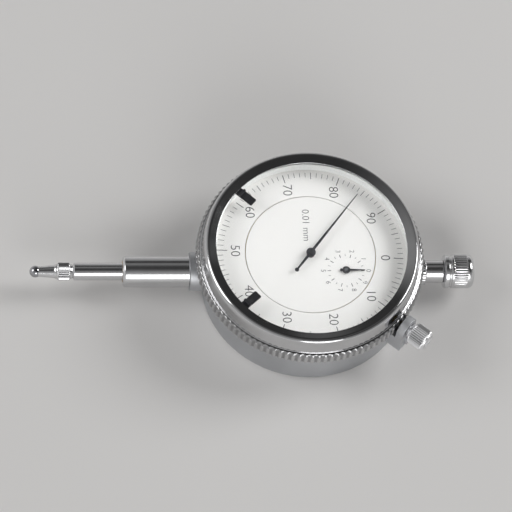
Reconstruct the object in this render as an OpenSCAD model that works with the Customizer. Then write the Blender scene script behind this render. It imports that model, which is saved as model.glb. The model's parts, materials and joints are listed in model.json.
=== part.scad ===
// Plunger dial indicator, lying on its back: +X runs up the plunger to the dust cap,
// +Z comes out of the dial, and the origin is on the dial axis at the back cover's face.

/* [Bezel and crystal] */
// Diameter of the bezel over its knurled flange
bezel_d = 58; // [56:0.5:64]
// Height of the knurled flange
flange_h = 4; // [3.5:0.25:5]
// Depth of the knurl on the flange
knurl_depth = 0.35; // [0.2:0.05:0.5]
// Number of knurl ridges round the flange
knurl_ridges = 110; // [60:10:140]
// Width of the bezel ring seen from the front, flange to window
bezel_face_w = 4.9; // [4.5:0.1:6]
// Thickness of the crystal
crystal_t = 1.2; // [1:0.1:1.6]
// Thickness of a limit marker's sheet metal
marker_t = 0.4; // [0.3:0.05:0.5]
// Width of a limit marker's tab
marker_w = 2.2; // [1.6:0.1:2.8]
// Length of a limit marker's tab inside the bezel's lip
marker_reach = 5; // [4:0.25:6]

/* [Case] */
// How far the bezel's flange stands out beyond the case
bezel_overhang = 2.5; // [2:0.25:3]
// Thickness of the case wall
case_wall = 2.2; // [1.8:0.1:2.6]
// Thickness of the back cover
back_t = 1.6; // [1.2:0.1:2]
// Height of the neck that the bezel turns on
neck_h = 3; // [2.5:0.25:4]

/* [Stem and plunger] */
// Diameter of the clamping stem
stem_d = 8; // [7:0.5:10]
// Length of the stem outside the case boss
stem_len = 17; // [14:0.5:24]
// Diameter of the plunger's spindle
plunger_d = 4.5; // [4:0.1:5]
// Diameter of the plunger's upper rod
rod_d = 3; // [2.6:0.1:3.2]
// Measuring travel of the plunger
travel = 10; // [6:0.5:10]
// Length of the contact point with its ball
contact_len = 11; // [8:0.5:16]
// Length of the contact point's knurled grip
contact_grip = 4; // [3:0.25:5]
// Diameter of the contact ball
ball_d = 3; // [2:0.1:3.6]
// Diameter of the dust cap
cap_d = 8.6; // [8:0.1:10]

/* [Movement] */
// Pitch of the rack on the plunger
rack_pitch = 0.625; // [0.55:0.005:0.68]
// Teeth on the pinion that the rack drives
rack_pinion_teeth = 16; // [14:1:18]
// Teeth on the first wheel and on the take-up wheel
wheel_teeth = 100; // [90:5:105]
// Teeth on the centre pinion that carries the pointer
centre_teeth = 10; // [10:1:12]
// Module of the wheels and the centre pinion
wheel_module = 0.18; // [0.16:0.005:0.185]
// Angle of the revolution counter, clockwise from the top of the dial
counter_angle = 28; // [22:1:34]
// Thickness of the two movement plates
plate_t = 1.1; // [0.9:0.1:1.3]
// Free height between the two movement plates
plate_gap = 2.9; // [2.7:0.1:3.4]
// Wire diameter of the return spring
spring_wire = 0.4; // [0.3:0.02:0.5]
// Turns of the return spring
spring_turns = 16; // [12:1:20]

/* [Dial and pointers] */
// Thickness of the dial sheet
dial_t = 0.4; // [0.3:0.05:0.6]
// Radius of the fixed centre disc of the dial
disc_r = 16.4; // [16:0.1:17.5]
// Length of the main pointer from the dial axis
pointer_len = 21; // [18:0.25:22]
// Length of the main pointer's tail
pointer_tail = 6.8; // [5:0.2:8]
// Direction of the main pointer at rest, from +X towards +Y
pointer_angle = 52.6; // [0:0.1:360]
// Length of the counter's pointer
counter_len = 4.8; // [3.5:0.1:5.2]
// Angle of each limit marker from the top of the dial
marker_angle = 137.6; // [20:0.2:160]

/* [Bezel clamp] */
// Direction of the bezel clamp, clockwise from the top of the dial
clamp_angle = 40; // [30:1:60]
// Diameter of the thumbscrew's knurled head
thumb_d = 5.6; // [4.5:0.1:6.5]
// Length of the thumbscrew's knurled head
thumb_len = 4.4; // [3:0.1:6]

/* [Hidden] */
$fn = 96;
eps = 0.02;

// Clearances: a shaft in its bush, an easy fit, and air between parts that move past each other
fit = 0.03;
ease = 0.1;
air = 0.15;

// Cuts run this far past the faces that they open, and small edges are broken by this much
past = 1;
edge = 0.3;

// Radii about the dial axis
bezel_r = bezel_d / 2;
case_r = bezel_r - bezel_overhang;
bore_r = case_r - case_wall;
neck_t = 1.1;
neck_r = bore_r + neck_t;
skirt_r = neck_r + ease;
window_r = bezel_r - bezel_face_w;
spacer_t = 0.8;
spacer_in_r = window_r + ease;
spacer_r = spacer_in_r + spacer_t;
crystal_seat = 0.35;
crystal_r = spacer_r + crystal_seat;
groove_depth = 0.65;
groove_r = crystal_r + groove_depth;
ridge_r = groove_r + 2 * ease;
flange_stand = 1;
cone_r = bezel_r - flange_stand;
bezel_edge = 0.4;
ring_r = skirt_r - ease / 2;

// Plunger axis: it clears the back cover by the stem boss and a small rise
plunger_r = plunger_d / 2;
rod_r = rod_d / 2;
stem_r = stem_d / 2;
shank_step = 0.6;
shank_r = stem_r - shank_step;
boss_wall = 0.9;
boss_r = stem_r + boss_wall;
boss_rise = 1;
axis_z = back_t + boss_rise + boss_r;
shoulder_rise = 0.35;
shoulder_z = axis_z + boss_r + shoulder_rise;
collar_step = 0.5;
collar_r = plunger_r + collar_step;

// Movement levels
plate_rise = 0.25;
plate_z = axis_z + collar_r + plate_rise;
plate_top = plate_z + plate_t;
front_z = plate_top + plate_gap;
front_top = front_z + plate_t;
wheel_t = 0.7;
wheel_rise = 0.9;
wheel_z = plate_top + wheel_rise;
hair_t = 0.5;
hair_rise = 0.3;
hair_z = wheel_z + wheel_t + hair_rise;
cock_t = 1.2;
cock_top = axis_z - collar_r - air;
cock_z = cock_top - cock_t;

// Dial, pointer, crystal and bezel levels
dial_rise = 0.35;
feet_room = 0.5;
dial_z = max(shoulder_z + neck_h + dial_rise, front_top + feet_room);
dial_top = dial_z + dial_t;
neck_top = dial_z - dial_rise;
hand_t = 0.22;
counter_rise = 0.35;
counter_z = dial_top + counter_rise;
pointer_rise = 1.1;
pointer_z = dial_top + pointer_rise;
spacer_h = 2.2;
crystal_z = dial_top + spacer_h;
crystal_top = crystal_z + crystal_t;
marker_z = crystal_top + air;
lip_z = marker_z + marker_t + air;
lip_edge = 0.3;
lip_h = 0.9;
bezel_top = lip_z + lip_h;
skirt_z = shoulder_z + air;
flange_top = skirt_z + flange_h;
snap_z = (shoulder_z + neck_top) / 2;
snap_wire_r = 0.38;
snap_groove = 0.5;
snap_r = (neck_r + skirt_r) / 2;

// Stations along the plunger axis, at rest
boss_stand = 1;
boss_root = 1.2;
boss_end = bezel_r + boss_stand;
stem_entry = 0.3;
stem_in = bore_r - stem_entry;
stem_end = boss_end + stem_len;
bush_wall = 0.5;
bush_r = plunger_r + bush_wall;
bush_len = 6;
bush_entry = 1;
upper_bush_in = bore_r - bush_entry;
collar_t = 1.2;
stand_out = 2.5;
plunger_end = stem_end + travel + stand_out;
contact_tip = plunger_end + contact_len;
thread_r = 1.25;
thread_len = 5;
top_boss_r = 4.2;
top_boss_len = 1.7;
top_boss_end = case_r + top_boss_len;
top_in = bore_r - bush_entry;
top_bush_wall = 1.1;
top_bush_r = rod_r + top_bush_wall;
top_neck_step = 0.3;
top_neck_r = top_bush_r + top_neck_step;
top_collar_step = 0.8;
top_collar_r = top_bush_r + top_collar_step;
top_collar_len = 2;
rod_stand = 1;
rod_end = case_r + rod_stand;
rod_room = 1;
neck_end = rod_end + travel + rod_room;
cap_gap = 5.8;
cap_x = bezel_r + cap_gap;
cap_bead = 1.4;
cap_groove = 0.3;
cap_room = 1.5;
cap_floor = neck_end + cap_room;
cap_wall = 2.5;
cap_end = cap_floor + cap_wall;

// Gear train: the rack drives a pinion, its wheel drives the centre pinion, and the take-up wheel follows
rack_module = rack_pitch / PI;
rack_pinion_r = rack_pinion_teeth * rack_module / 2;
rack_sink = 0.4;
rack_line = plunger_r - rack_sink;
rack_root = rack_line - 1.25 * rack_module;
rack_tip = rack_line + rack_module;
rack_margin = 1.5;
centre_dist = wheel_module * (wheel_teeth + centre_teeth) / 2;
first_y = rack_line + rack_pinion_r;
first_x = -sqrt(centre_dist * centre_dist - first_y * first_y);
first_at = [first_x, first_y];
counter_at = centre_dist * [cos(counter_angle), -sin(counter_angle)];
rack_hi = first_x + rack_margin;
rack_lo = first_x - travel - rack_margin;
rack_relief = 0.4;
seat_len = 1;
spring_seat = rack_hi + seat_len;
pinion_w = 2.4;
flank_backlash = 0.012;

// Tooth phases: each mesh has a tooth of one gear in a gap of the other
first_to_centre = atan2(-first_y, -first_x);
centre_to_counter = -counter_angle;
centre_phase = first_to_centre + 180 - 180 / centre_teeth;
centre_share = (centre_to_counter - centre_phase) * centre_teeth / 360;
takeup_phase = centre_to_counter + 180 - (0.5 - centre_share) * 360 / wheel_teeth;

// Arbor and jewel radii
first_shaft_r = 0.9;
shaft_room = 0.5;
centre_shaft_r = 0.6;
arbor_r = 0.7;
pivot_r = 0.45;
pivot_rest = 0.2;
jewel_r = 1.2;

// Places of the small fasteners
screw_r = 0.8;
screw_head_r = 1.5;
screw_head_h = 0.8;
block_head_h = 0.7;
small_head_r = 1.4;
small_head_h = 0.5;
front_head_h = 0.4;
slot_w = 0.4;
sink = 0.9;
cover_ledge = 0.9;
cover_grip = 3.5;
movement_grip = 3;
pillar_grip = 2;
rail_grip = 1.6;
boss_inset = 1.9;
boss_at = bore_r - boss_inset;
inner_boss_r = 2.3;
boss_angles = [45, 135, 225, 315];
pillar_at = 17;
pillar_r = 1.6;
pillar_angles = [25, 75, 205, 255];
plate_margin = 3.2;
front_plate_r = pillar_at + plate_margin;
sight_at = 12.5;
sight_r = 4;
foot_inset = 3;
foot_at = disc_r - foot_inset;
foot_r = 0.8;
foot_angles = [95, 215, 335];
post_apart = 9;
post_off = 6.5;
post_at = [for (side = [-0.5, 0.5]) [first_x + side * post_apart, first_y + post_off]];
post_r = 1.4;
cock_arm = 4;
cock_boss_r = 2.2;
cock_margin = 0.6;
pin_r = 0.6;
pin_inset = 1.6;
pin_x = rack_lo + pin_inset;
rail_off = 3.4;
rail_y = -plunger_r - rail_off;
rail_w = 3;
rail_wall = 0.6;
rail_z = axis_z - pin_r - rail_wall;
rail_end = 1;
rail_lo = pin_x - pin_r - rail_end;
rail_hi = pin_x + travel + pin_r + rail_end;
rail_screw_inset = 1.8;
stud_r = 0.4;
hair_in = 1.05;
hair_out = 5.2;
hair_turns = 4;
hair_strip = 0.12;

// Bezel clamp stations, outwards from the dial axis
clamp_z = skirt_z + flange_h / 2;
block_sink = 0.5;
block_in = case_r - block_sink;
upright_gap = 0.45;
upright_in = bezel_r + upright_gap;
upright_t = 2;
upright_out = upright_in + upright_t;
block_w = 6;
block_drop = 5.5;
block_z = shoulder_z - block_drop;
foot_top = shoulder_z - air;
clamp_shank_r = 1.25;
pad_gap = 0.3;
pad_in = bezel_r + pad_gap;
pad_t = 0.6;
screw_tip = pad_in + pad_t + fit;
thumb_gap = 0.35;
thumb_collar = 0.6;
collar_in = upright_out + thumb_gap;
thumb_in = collar_in + thumb_collar;
block_screw_z = (block_z + foot_top) / 2;
block_screw_stop = 1;
block_screw_tip = bore_r + block_screw_stop;

// Shapes that several pieces share

// A solid turned about the plunger axis, from points of radius and station
module turned(points) {
    translate([0, 0, axis_z]) rotate([0, 90, 0]) rotate_extrude() polygon(points);
}

// A round bar along the plunger axis
module bar_x(x, length, r) {
    translate([x, 0, axis_z]) rotate([0, 90, 0]) cylinder(h = length, r = r);
}

// Children drawn along +Z are laid along the bezel clamp's radius
module on_clamp(z) {
    rotate([0, 0, -clamp_angle]) translate([0, 0, z]) rotate([0, 90, 0]) children();
}

// A copy of the children at each angle on a circle about the dial axis
module round_dial(radius, angles) {
    for (a = angles) rotate([0, 0, a]) translate([radius, 0, 0]) children();
}

// A flat ring
module ring(z, height, inner, outer) {
    translate([0, 0, z]) difference() {
        cylinder(h = height, r = outer);
        translate([0, 0, -past]) cylinder(h = height + 2 * past, r = inner);
    }
}

// A pan-head screw along +Z with its head's seat at z = 0
module pan_screw(shank, head, head_h, length) {
    translate([0, 0, -length]) cylinder(h = length, r = shank);
    difference() {
        cylinder(h = head_h, r = head);
        translate([-head, -slot_w / 2, head_h / 2]) cube([2 * head, slot_w, head_h]);
    }
}

// Ridged outline of a straight knurl
function knurl_outline(r, depth, ridges) = [
    for (i = [0 : 2 * ridges - 1])
        let (a = i * 180 / ridges, rr = r - (i % 2) * depth) rr * [cos(a), sin(a)]
];

// Involute gear outline: half the tooth's angle at radius r, and points up one flank and down the other
pressure = 20;
function involute(a) = tan(a) * 180 / PI - a;
function half_tooth(r, pitch_r, teeth) =
    let (base_r = pitch_r * cos(pressure))
    90 / teeth - flank_backlash / pitch_r * 180 / PI + involute(pressure)
        - involute(acos(min(1, base_r / max(r, base_r))));
function gear_outline(teeth, module_size, addendum, dedendum, steps, phase) =
    let (
        pitch_r = teeth * module_size / 2,
        root_r = pitch_r - dedendum * module_size,
        tip_r = pitch_r + addendum * module_size
    ) [
        for (k = [0 : teeth - 1], i = [-steps : steps + 1])
            let (
                up = i <= 0 ? (i + steps) / steps : (steps + 1 - i) / steps,
                r = root_r + (tip_r - root_r) * up,
                half = half_tooth(r, pitch_r, teeth),
                a = phase + k * 360 / teeth + (i <= 0 ? -half : half)
            ) r * [cos(a), sin(a)]
    ];

// Outline that cuts the gaps of the rack: its lower edge follows the teeth
function rack_gaps() =
    let (
        above = plunger_r + past,
        slope = tan(pressure),
        tip_half = rack_pitch / 4 - rack_module * slope - flank_backlash,
        root_half = rack_pitch / 4 + 1.25 * rack_module * slope - flank_backlash,
        teeth = floor((rack_hi - rack_lo) / rack_pitch) - 1,
        back = ceil((travel + rack_margin) / rack_pitch) - 0.5
    ) concat(
        [[rack_lo - rack_relief, above], [rack_lo - rack_relief, rack_root]],
        [
            for (k = [1 : teeth], p = [[-root_half, rack_root], [-tip_half, rack_tip],
                                      [tip_half, rack_tip], [root_half, rack_root]])
                [first_x + (k - back) * rack_pitch + p[0], p[1]]
        ],
        [[rack_hi + rack_relief, rack_root], [rack_hi + rack_relief, above]]
    );

// Helix of the return spring, swept as one closed skin
spring_sides = 6;
spring_steps = 14;
function spring_skin(from, to, coil_r, wire_r) =
    let (rings = spring_turns * spring_steps) [
        for (i = [0 : rings], j = [0 : spring_sides - 1])
            let (
                a = i * 360 / spring_steps,
                b = j * 360 / spring_sides,
                x = from + (to - from) * i / rings + wire_r * sin(b),
                r = coil_r + wire_r * cos(b)
            ) [x, r * cos(a), axis_z + r * sin(a)]
    ];
function spring_faces() =
    let (rings = spring_turns * spring_steps, n = spring_sides) concat(
        [[for (j = [0 : n - 1]) j]],
        [[for (j = [0 : n - 1]) rings * n + n - 1 - j]],
        [
            for (i = [0 : rings - 1], j = [0 : n - 1])
                [i * n + j, (i + 1) * n + j, (i + 1) * n + (j + 1) % n, i * n + (j + 1) % n]
        ]
    );

// Spiral strip of the hairspring, out along one side and back along the other
function spiral_edge(offset, turns, steps) = [
    for (i = [0 : turns * steps])
        let (share = i / (turns * steps), r = hair_in + (hair_out - hair_in) * share + offset)
            r * [cos(i * 360 / steps), sin(i * 360 / steps)]
];

// Pieces that stay with the case

module case_body() {
    ledge_r = bore_r + cover_ledge;
    rim_z = 0.3;
    rim_edge = 0.4;
    snap_in = neck_r - snap_groove;
    color("silver") difference() {
        union() {
            rotate_extrude() polygon([
                [bore_r, back_t], [ledge_r, back_t], [ledge_r, rim_z], [case_r - rim_edge, rim_z],
                [case_r, rim_z + rim_edge], [case_r, shoulder_z - edge], [case_r - edge, shoulder_z],
                [neck_r, shoulder_z], [neck_r, snap_z - snap_groove], [snap_in, snap_z - snap_groove],
                [snap_in, snap_z + snap_groove], [neck_r, snap_z + snap_groove], [neck_r, neck_top - edge],
                [neck_r - edge, neck_top], [bore_r, neck_top]
            ]);
            bar_x(-boss_end, boss_end - case_r + boss_root, boss_r);
            bar_x(case_r - boss_root, top_boss_len + boss_root, top_boss_r);
            round_dial(boss_at, boss_angles)
                translate([0, 0, back_t]) cylinder(h = plate_z - back_t, r = inner_boss_r);
        }
        bar_x(-boss_end - past, boss_end + 2 * past - upper_bush_in, shank_r);
        bar_x(top_in, top_boss_end - top_in + past, top_bush_r);
        round_dial(boss_at, boss_angles) {
            translate([0, 0, back_t - past]) cylinder(h = cover_grip + 2 * past, r = screw_r);
            translate([0, 0, plate_z - movement_grip]) cylinder(h = movement_grip + past, r = screw_r);
        }
        on_clamp(block_screw_z) translate([0, 0, block_screw_tip - 2 * ease])
            cylinder(h = case_wall + past, r = screw_r);
    }
}

module back_cover() {
    cover_r = bore_r + cover_ledge - ease;
    cover_edge = 0.5;
    color("gainsboro") difference() {
        rotate_extrude() polygon([
            [0, 0], [cover_r - cover_edge, 0], [cover_r, cover_edge], [cover_r, back_t], [0, back_t]
        ]);
        round_dial(boss_at, boss_angles) {
            translate([0, 0, -past]) cylinder(h = back_t + 2 * past, r = screw_r);
            translate([0, 0, -eps]) cylinder(h = sink, r1 = screw_head_r + eps, r2 = screw_r);
        }
    }
}

module back_cover_screws() {
    head_z = 0.06;
    color("silver") round_dial(boss_at, boss_angles) difference() {
        union() {
            translate([0, 0, head_z])
                cylinder(h = sink - head_z - eps, r1 = screw_head_r - ease, r2 = screw_r);
            translate([0, 0, head_z]) cylinder(h = back_t + cover_grip, r = screw_r);
        }
        translate([-screw_head_r, -slot_w / 2, -past]) cube([2 * screw_head_r, slot_w, past + slot_w]);
    }
}

module stem() {
    end_edge = 0.5;
    color("lightgray") turned([
        [bush_r, -stem_in], [shank_r, -stem_in], [shank_r, -boss_end], [stem_r, -boss_end],
        [stem_r, end_edge - stem_end], [stem_r - end_edge, -stem_end], [bush_r, -stem_end]
    ]);
}

module plunger_bush(from, to) {
    color("goldenrod") turned([
        [plunger_r + fit, from], [bush_r, from], [bush_r, to], [plunger_r + fit, to]
    ]);
}

module stem_lower_bush() {
    plunger_bush(-stem_end, bush_len - stem_end);
}

module stem_upper_bush() {
    plunger_bush(-upper_bush_in - bush_len, -upper_bush_in);
}

module top_bush() {
    color("lightgray") turned([
        [rod_r + fit, top_in], [top_bush_r, top_in], [top_bush_r, top_boss_end],
        [top_collar_r, top_boss_end], [top_collar_r, top_boss_end + top_collar_len],
        [top_neck_r, top_boss_end + top_collar_len], [top_neck_r, cap_x - ease],
        [top_bush_r, cap_x], [top_bush_r, neck_end], [rod_r + fit, neck_end]
    ]);
}

module dust_cap() {
    cap_r = cap_d / 2;
    cap_edge = 0.4;
    dome = 1.4;
    color("lightgray") turned(concat(
        [
            [0, cap_floor], [top_bush_r, cap_floor], [top_bush_r, cap_x],
            [cap_r - cap_edge, cap_x], [cap_r, cap_x + cap_edge], [cap_r, cap_x + cap_bead],
            [cap_r - cap_groove, cap_x + cap_bead + cap_groove], [cap_r, cap_x + cap_bead + 2 * cap_groove]
        ],
        [for (a = [0 : 15 : 90]) [cap_r - dome * (1 - cos(a)), cap_end - dome * (1 - sin(a))]],
        [[0, cap_end]]
    ));
}

module main_plate() {
    notch_w = 8.4;
    notch_in = 1.7;
    through = plate_t + 2 * past;
    color("darkkhaki") difference() {
        translate([0, 0, plate_z]) cylinder(h = plate_t, r = bore_r - 2 * ease);
        translate([0, 0, plate_z - past]) {
            for (side = [0, 1]) mirror([side, 0, 0])
                translate([bore_r - notch_in, -notch_w / 2]) cube([notch_in + past, notch_w, through]);
            round_dial(boss_at, boss_angles) cylinder(h = through, r = screw_r);
            round_dial(pillar_at, pillar_angles) cylinder(h = through, r = screw_r);
            translate(first_at) cylinder(h = through, r = first_shaft_r + shaft_room);
            cylinder(h = through, r = jewel_r);
            translate(counter_at) cylinder(h = through, r = jewel_r);
            for (p = post_at) translate(p) cylinder(h = through, r = screw_r);
            for (x = rail_screw_x()) translate([x, rail_y]) cylinder(h = through, r = screw_r);
        }
    }
}

module front_plate() {
    through = plate_t + 2 * past;
    color("darkkhaki") difference() {
        translate([0, 0, front_z]) cylinder(h = plate_t, r = front_plate_r);
        translate([0, 0, front_z - past]) {
            round_dial(pillar_at, pillar_angles) cylinder(h = through, r = screw_r);
            for (p = [first_at, [0, 0], counter_at]) translate(p) cylinder(h = through, r = jewel_r);
            round_dial(sight_at, [-70, 125]) cylinder(h = through, r = sight_r);
        }
    }
}

module plate_pillars() {
    color("goldenrod") round_dial(pillar_at, pillar_angles) difference() {
        union() {
            translate([0, 0, plate_top]) cylinder(h = plate_gap, r = pillar_r);
            translate([0, 0, plate_z]) cylinder(h = plate_t, r = screw_r);
        }
        translate([0, 0, front_z - pillar_grip]) cylinder(h = pillar_grip + past, r = screw_r);
    }
}

module front_plate_screws() {
    color("silver") round_dial(pillar_at, pillar_angles)
        translate([0, 0, front_top]) pan_screw(screw_r, small_head_r, front_head_h, plate_t + pillar_grip);
}

module movement_screws() {
    color("silver") round_dial(boss_at, boss_angles)
        translate([0, 0, plate_top]) pan_screw(screw_r, screw_head_r, screw_head_h, plate_t + movement_grip);
}

// Small bridge under the plunger for the first arbor's lower pivot
module rear_cock() {
    span = post_at[1][0] - post_at[0][0];
    color("darkkhaki") difference() {
        translate([0, 0, cock_z]) {
            translate([post_at[0][0], post_at[0][1] - post_r]) cube([span, 2 * post_r, cock_t]);
            translate([first_x - cock_arm / 2, first_y]) cube([cock_arm, post_at[0][1] - first_y, cock_t]);
            translate(first_at) cylinder(h = cock_t, r = cock_boss_r);
            for (p = post_at) translate(p) cylinder(h = cock_t, r = post_r + cock_margin);
        }
        translate([0, 0, cock_z - past]) {
            translate(first_at) cylinder(h = cock_t + 2 * past, r = jewel_r);
            for (p = post_at) translate(p) cylinder(h = cock_t + 2 * past, r = screw_r);
        }
    }
}

module cock_posts() {
    color("goldenrod") for (p = post_at) translate(p) difference() {
        union() {
            translate([0, 0, cock_top]) cylinder(h = plate_z - cock_top, r = post_r);
            translate([0, 0, plate_z]) cylinder(h = plate_t, r = screw_r);
        }
        translate([0, 0, cock_top - past]) cylinder(h = pillar_grip + past, r = screw_r);
    }
}

module cock_screws() {
    color("silver") for (p = post_at)
        translate([p[0], p[1], cock_z]) rotate([180, 0, 0])
            pan_screw(screw_r, small_head_r, small_head_h, cock_t + pillar_grip);
}

module jewel(z, height) {
    ring(z, height, pivot_r + fit, jewel_r);
}

module lower_jewels() {
    color("firebrick") {
        translate(first_at) jewel(cock_z, cock_t);
        jewel(plate_z, plate_t);
        translate(counter_at) jewel(plate_z, plate_t);
    }
}

module upper_jewels() {
    color("firebrick") for (p = [first_at, [0, 0], counter_at]) translate(p) jewel(front_z, plate_t);
}

function rail_screw_x() = [rail_lo + rail_screw_inset, rail_hi - rail_screw_inset];

// Grooved rail that keeps the plunger from turning
module guide_rail() {
    stop = 0.6;
    lip = 0.4;
    color("darkgray") difference() {
        translate([rail_lo, rail_y - rail_w / 2, rail_z]) cube([rail_hi - rail_lo, rail_w, plate_z - rail_z]);
        translate([rail_lo + stop, rail_y - lip, axis_z - pin_r - fit])
            cube([rail_hi - rail_lo - 2 * stop, rail_w, 2 * (pin_r + fit)]);
        for (x = rail_screw_x())
            translate([x, rail_y, plate_z - rail_grip]) cylinder(h = rail_grip + past, r = screw_r);
    }
}

module guide_rail_screws() {
    color("silver") for (x = rail_screw_x())
        translate([x, rail_y, plate_top]) pan_screw(screw_r, small_head_r, small_head_h, plate_t + rail_grip);
}

module return_spring() {
    wire_r = spring_wire / 2;
    coil_r = rod_r + air + wire_r;
    color("slategray") polyhedron(
        points = spring_skin(spring_seat + wire_r + eps, top_in - wire_r - eps, coil_r, wire_r),
        faces = spring_faces(),
        convexity = 10
    );
}

module hairspring() {
    steps = 28;
    color("steelblue") translate([counter_at[0], counter_at[1], hair_z]) linear_extrude(hair_t)
        polygon(concat(
            spiral_edge(0, hair_turns, steps),
            [for (i = [hair_turns * steps : -1 : 0]) spiral_edge(hair_strip, hair_turns, steps)[i]]
        ));
}

module hairspring_stud() {
    reach = hair_out + hair_strip + stud_r + eps;
    color("goldenrod") translate([counter_at[0] + reach, counter_at[1], hair_z - ease])
        cylinder(h = front_z - hair_z + ease, r = stud_r);
}

module dial_disc() {
    centre_hole_r = 1;
    counter_hole_r = 0.8;
    color("white") difference() {
        translate([0, 0, dial_z]) cylinder(h = dial_t, r = disc_r);
        translate([0, 0, dial_z - past]) {
            cylinder(h = dial_t + 2 * past, r = centre_hole_r);
            translate(counter_at) cylinder(h = dial_t + 2 * past, r = counter_hole_r);
        }
    }
}

module dial_feet() {
    color("goldenrod") round_dial(foot_at, foot_angles)
        translate([0, 0, front_top]) cylinder(h = dial_z - front_top, r = foot_r);
}

// Angle piece on the case wall: a foot under the flange and an upright outside it
module clamp_block() {
    color("silver") rotate([0, 0, -clamp_angle]) difference() {
        union() {
            translate([block_in, -block_w / 2, block_z])
                cube([upright_out - block_in, block_w, foot_top - block_z]);
            translate([upright_in, -block_w / 2, block_z])
                cube([upright_t, block_w, clamp_z - block_z]);
            translate([upright_in, 0, clamp_z]) rotate([0, 90, 0])
                cylinder(h = upright_t, r = block_w / 2);
        }
        translate([0, 0, block_z - past]) cylinder(h = clamp_z - block_z + block_w, r = case_r);
        translate([upright_in - past, 0, clamp_z]) rotate([0, 90, 0])
            cylinder(h = upright_t + 2 * past, r = clamp_shank_r + ease / 2);
        translate([block_in - past, 0, block_screw_z]) rotate([0, 90, 0])
            cylinder(h = upright_out - block_in + 2 * past, r = screw_r);
    }
}

module clamp_block_screw() {
    color("silver") on_clamp(block_screw_z) translate([0, 0, upright_out])
        pan_screw(screw_r, screw_head_r, block_head_h, upright_out - block_screw_tip);
}

// Pieces that slide with the plunger

module plunger() {
    collar_x = -upper_bush_in + eps;
    rod_edge = 0.4;
    clear = collar_r + past;
    color("lightgray") difference() {
        turned([
            [0, -plunger_end], [plunger_r - edge, -plunger_end], [plunger_r, edge - plunger_end],
            [plunger_r, collar_x], [collar_r, collar_x], [collar_r, collar_x + collar_t],
            [plunger_r, collar_x + collar_t], [plunger_r, spring_seat], [rod_r, spring_seat],
            [rod_r, rod_end - rod_edge], [rod_r - rod_edge, rod_end], [0, rod_end]
        ]);
        bar_x(-plunger_end - past, thread_len + past, thread_r);
        translate([0, 0, axis_z - plunger_r - past])
            linear_extrude(2 * (plunger_r + past)) polygon(rack_gaps());
        translate([collar_x - eps / 2, rack_root - ease / 2, axis_z - clear])
            cube([collar_t + eps, clear, 2 * clear]);
        translate([pin_x, 0, axis_z]) rotate([90, 0, 0]) cylinder(h = clear, r = pin_r);
    }
}

module contact_point() {
    waist_step = 0.6;
    core_step = 0.35;
    waist_r = plunger_r - waist_step;
    core_r = plunger_r - core_step;
    nose_r = ball_d * 0.42;
    ball_x = ball_d / 2 - contact_tip;
    grip_x = -plunger_end - contact_grip;
    grip_gap = 0.8;
    grip_depth = 0.2;
    grip_ridges = 28;
    color("lightgray") difference() {
        union() {
            turned([
                [0, ball_x], [nose_r, ball_x], [waist_r, grip_x - grip_gap], [core_r, grip_x - edge],
                [core_r, -plunger_end - 2 * edge], [waist_r, -plunger_end], [0, -plunger_end]
            ]);
            translate([grip_x, 0, axis_z]) rotate([0, 90, 0]) linear_extrude(contact_grip - grip_gap)
                polygon(knurl_outline(plunger_r, grip_depth, grip_ridges));
            bar_x(-plunger_end - eps, thread_len, thread_r);
        }
        translate([ball_x, 0, axis_z]) sphere(d = ball_d);
    }
}

module contact_ball() {
    color("dimgray") translate([ball_d / 2 - contact_tip, 0, axis_z]) sphere(d = ball_d);
}

module guide_pin() {
    color("silver") translate([pin_x, 0, axis_z]) rotate([90, 0, 0])
        cylinder(h = 2 * ease - rail_y, r = pin_r);
}

// Gear train

// Toothed wheel with four spokes and a hub, bored for its arbor
module wheel(phase, bore) {
    rim_w = 1.1;
    rim_r = wheel_module * wheel_teeth / 2 - rim_w;
    hub_r = 2.2;
    spoke = 24;
    translate([0, 0, wheel_z]) difference() {
        linear_extrude(wheel_t) polygon(gear_outline(wheel_teeth, wheel_module, 0.9, 1.25, 2, phase));
        translate([0, 0, -past]) cylinder(h = wheel_t + 2 * past, r = bore);
        for (a = [45 : 90 : 315]) rotate([0, 0, a + spoke / 2]) translate([0, 0, -past])
            rotate_extrude(angle = 90 - spoke) translate([hub_r, 0])
                square([rim_r - hub_r, wheel_t + 2 * past]);
    }
}

module rack_pinion() {
    color("silver") translate(first_at) {
        translate([0, 0, cock_z + pivot_rest])
            cylinder(h = front_top - cock_z - 2 * pivot_rest, r = pivot_r);
        translate([0, 0, cock_top + ease]) cylinder(h = front_z - cock_top - 2 * ease, r = first_shaft_r);
        translate([0, 0, axis_z - pinion_w / 2]) linear_extrude(pinion_w)
            polygon(gear_outline(rack_pinion_teeth, rack_module, 1, 1.25, 4, -90));
    }
}

module first_wheel() {
    color("goldenrod") translate(first_at) wheel(first_to_centre, first_shaft_r);
}

module centre_pinion() {
    beside = 0.4;
    color("silver") {
        translate([0, 0, plate_z + pivot_rest]) cylinder(h = pointer_z + hand_t - plate_z, r = pivot_r);
        translate([0, 0, plate_top + ease]) cylinder(h = plate_gap - 2 * ease, r = centre_shaft_r);
        translate([0, 0, wheel_z - beside]) linear_extrude(wheel_t + 2 * beside)
            polygon(gear_outline(centre_teeth, wheel_module, 1, 1.25, 4, centre_phase));
    }
}

// Tapered hand with a round boss, pointing along +X
module hand(length, tail, base_w, tip_w, boss, bore) {
    linear_extrude(hand_t) difference() {
        union() {
            polygon([
                [length, -tip_w / 2], [length, tip_w / 2], [0, base_w / 2],
                [-tail, base_w * 0.75], [-tail, -base_w * 0.75], [0, -base_w / 2]
            ]);
            circle(r = boss);
        }
        circle(r = bore);
    }
}

pointer_bush_r = 1;

module main_pointer() {
    color([0.08, 0.08, 0.09]) translate([0, 0, pointer_z]) rotate([0, 0, pointer_angle])
        hand(pointer_len, pointer_tail, base_w = 1.2, tip_w = 0.24, boss = 1.8, bore = pointer_bush_r);
}

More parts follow.
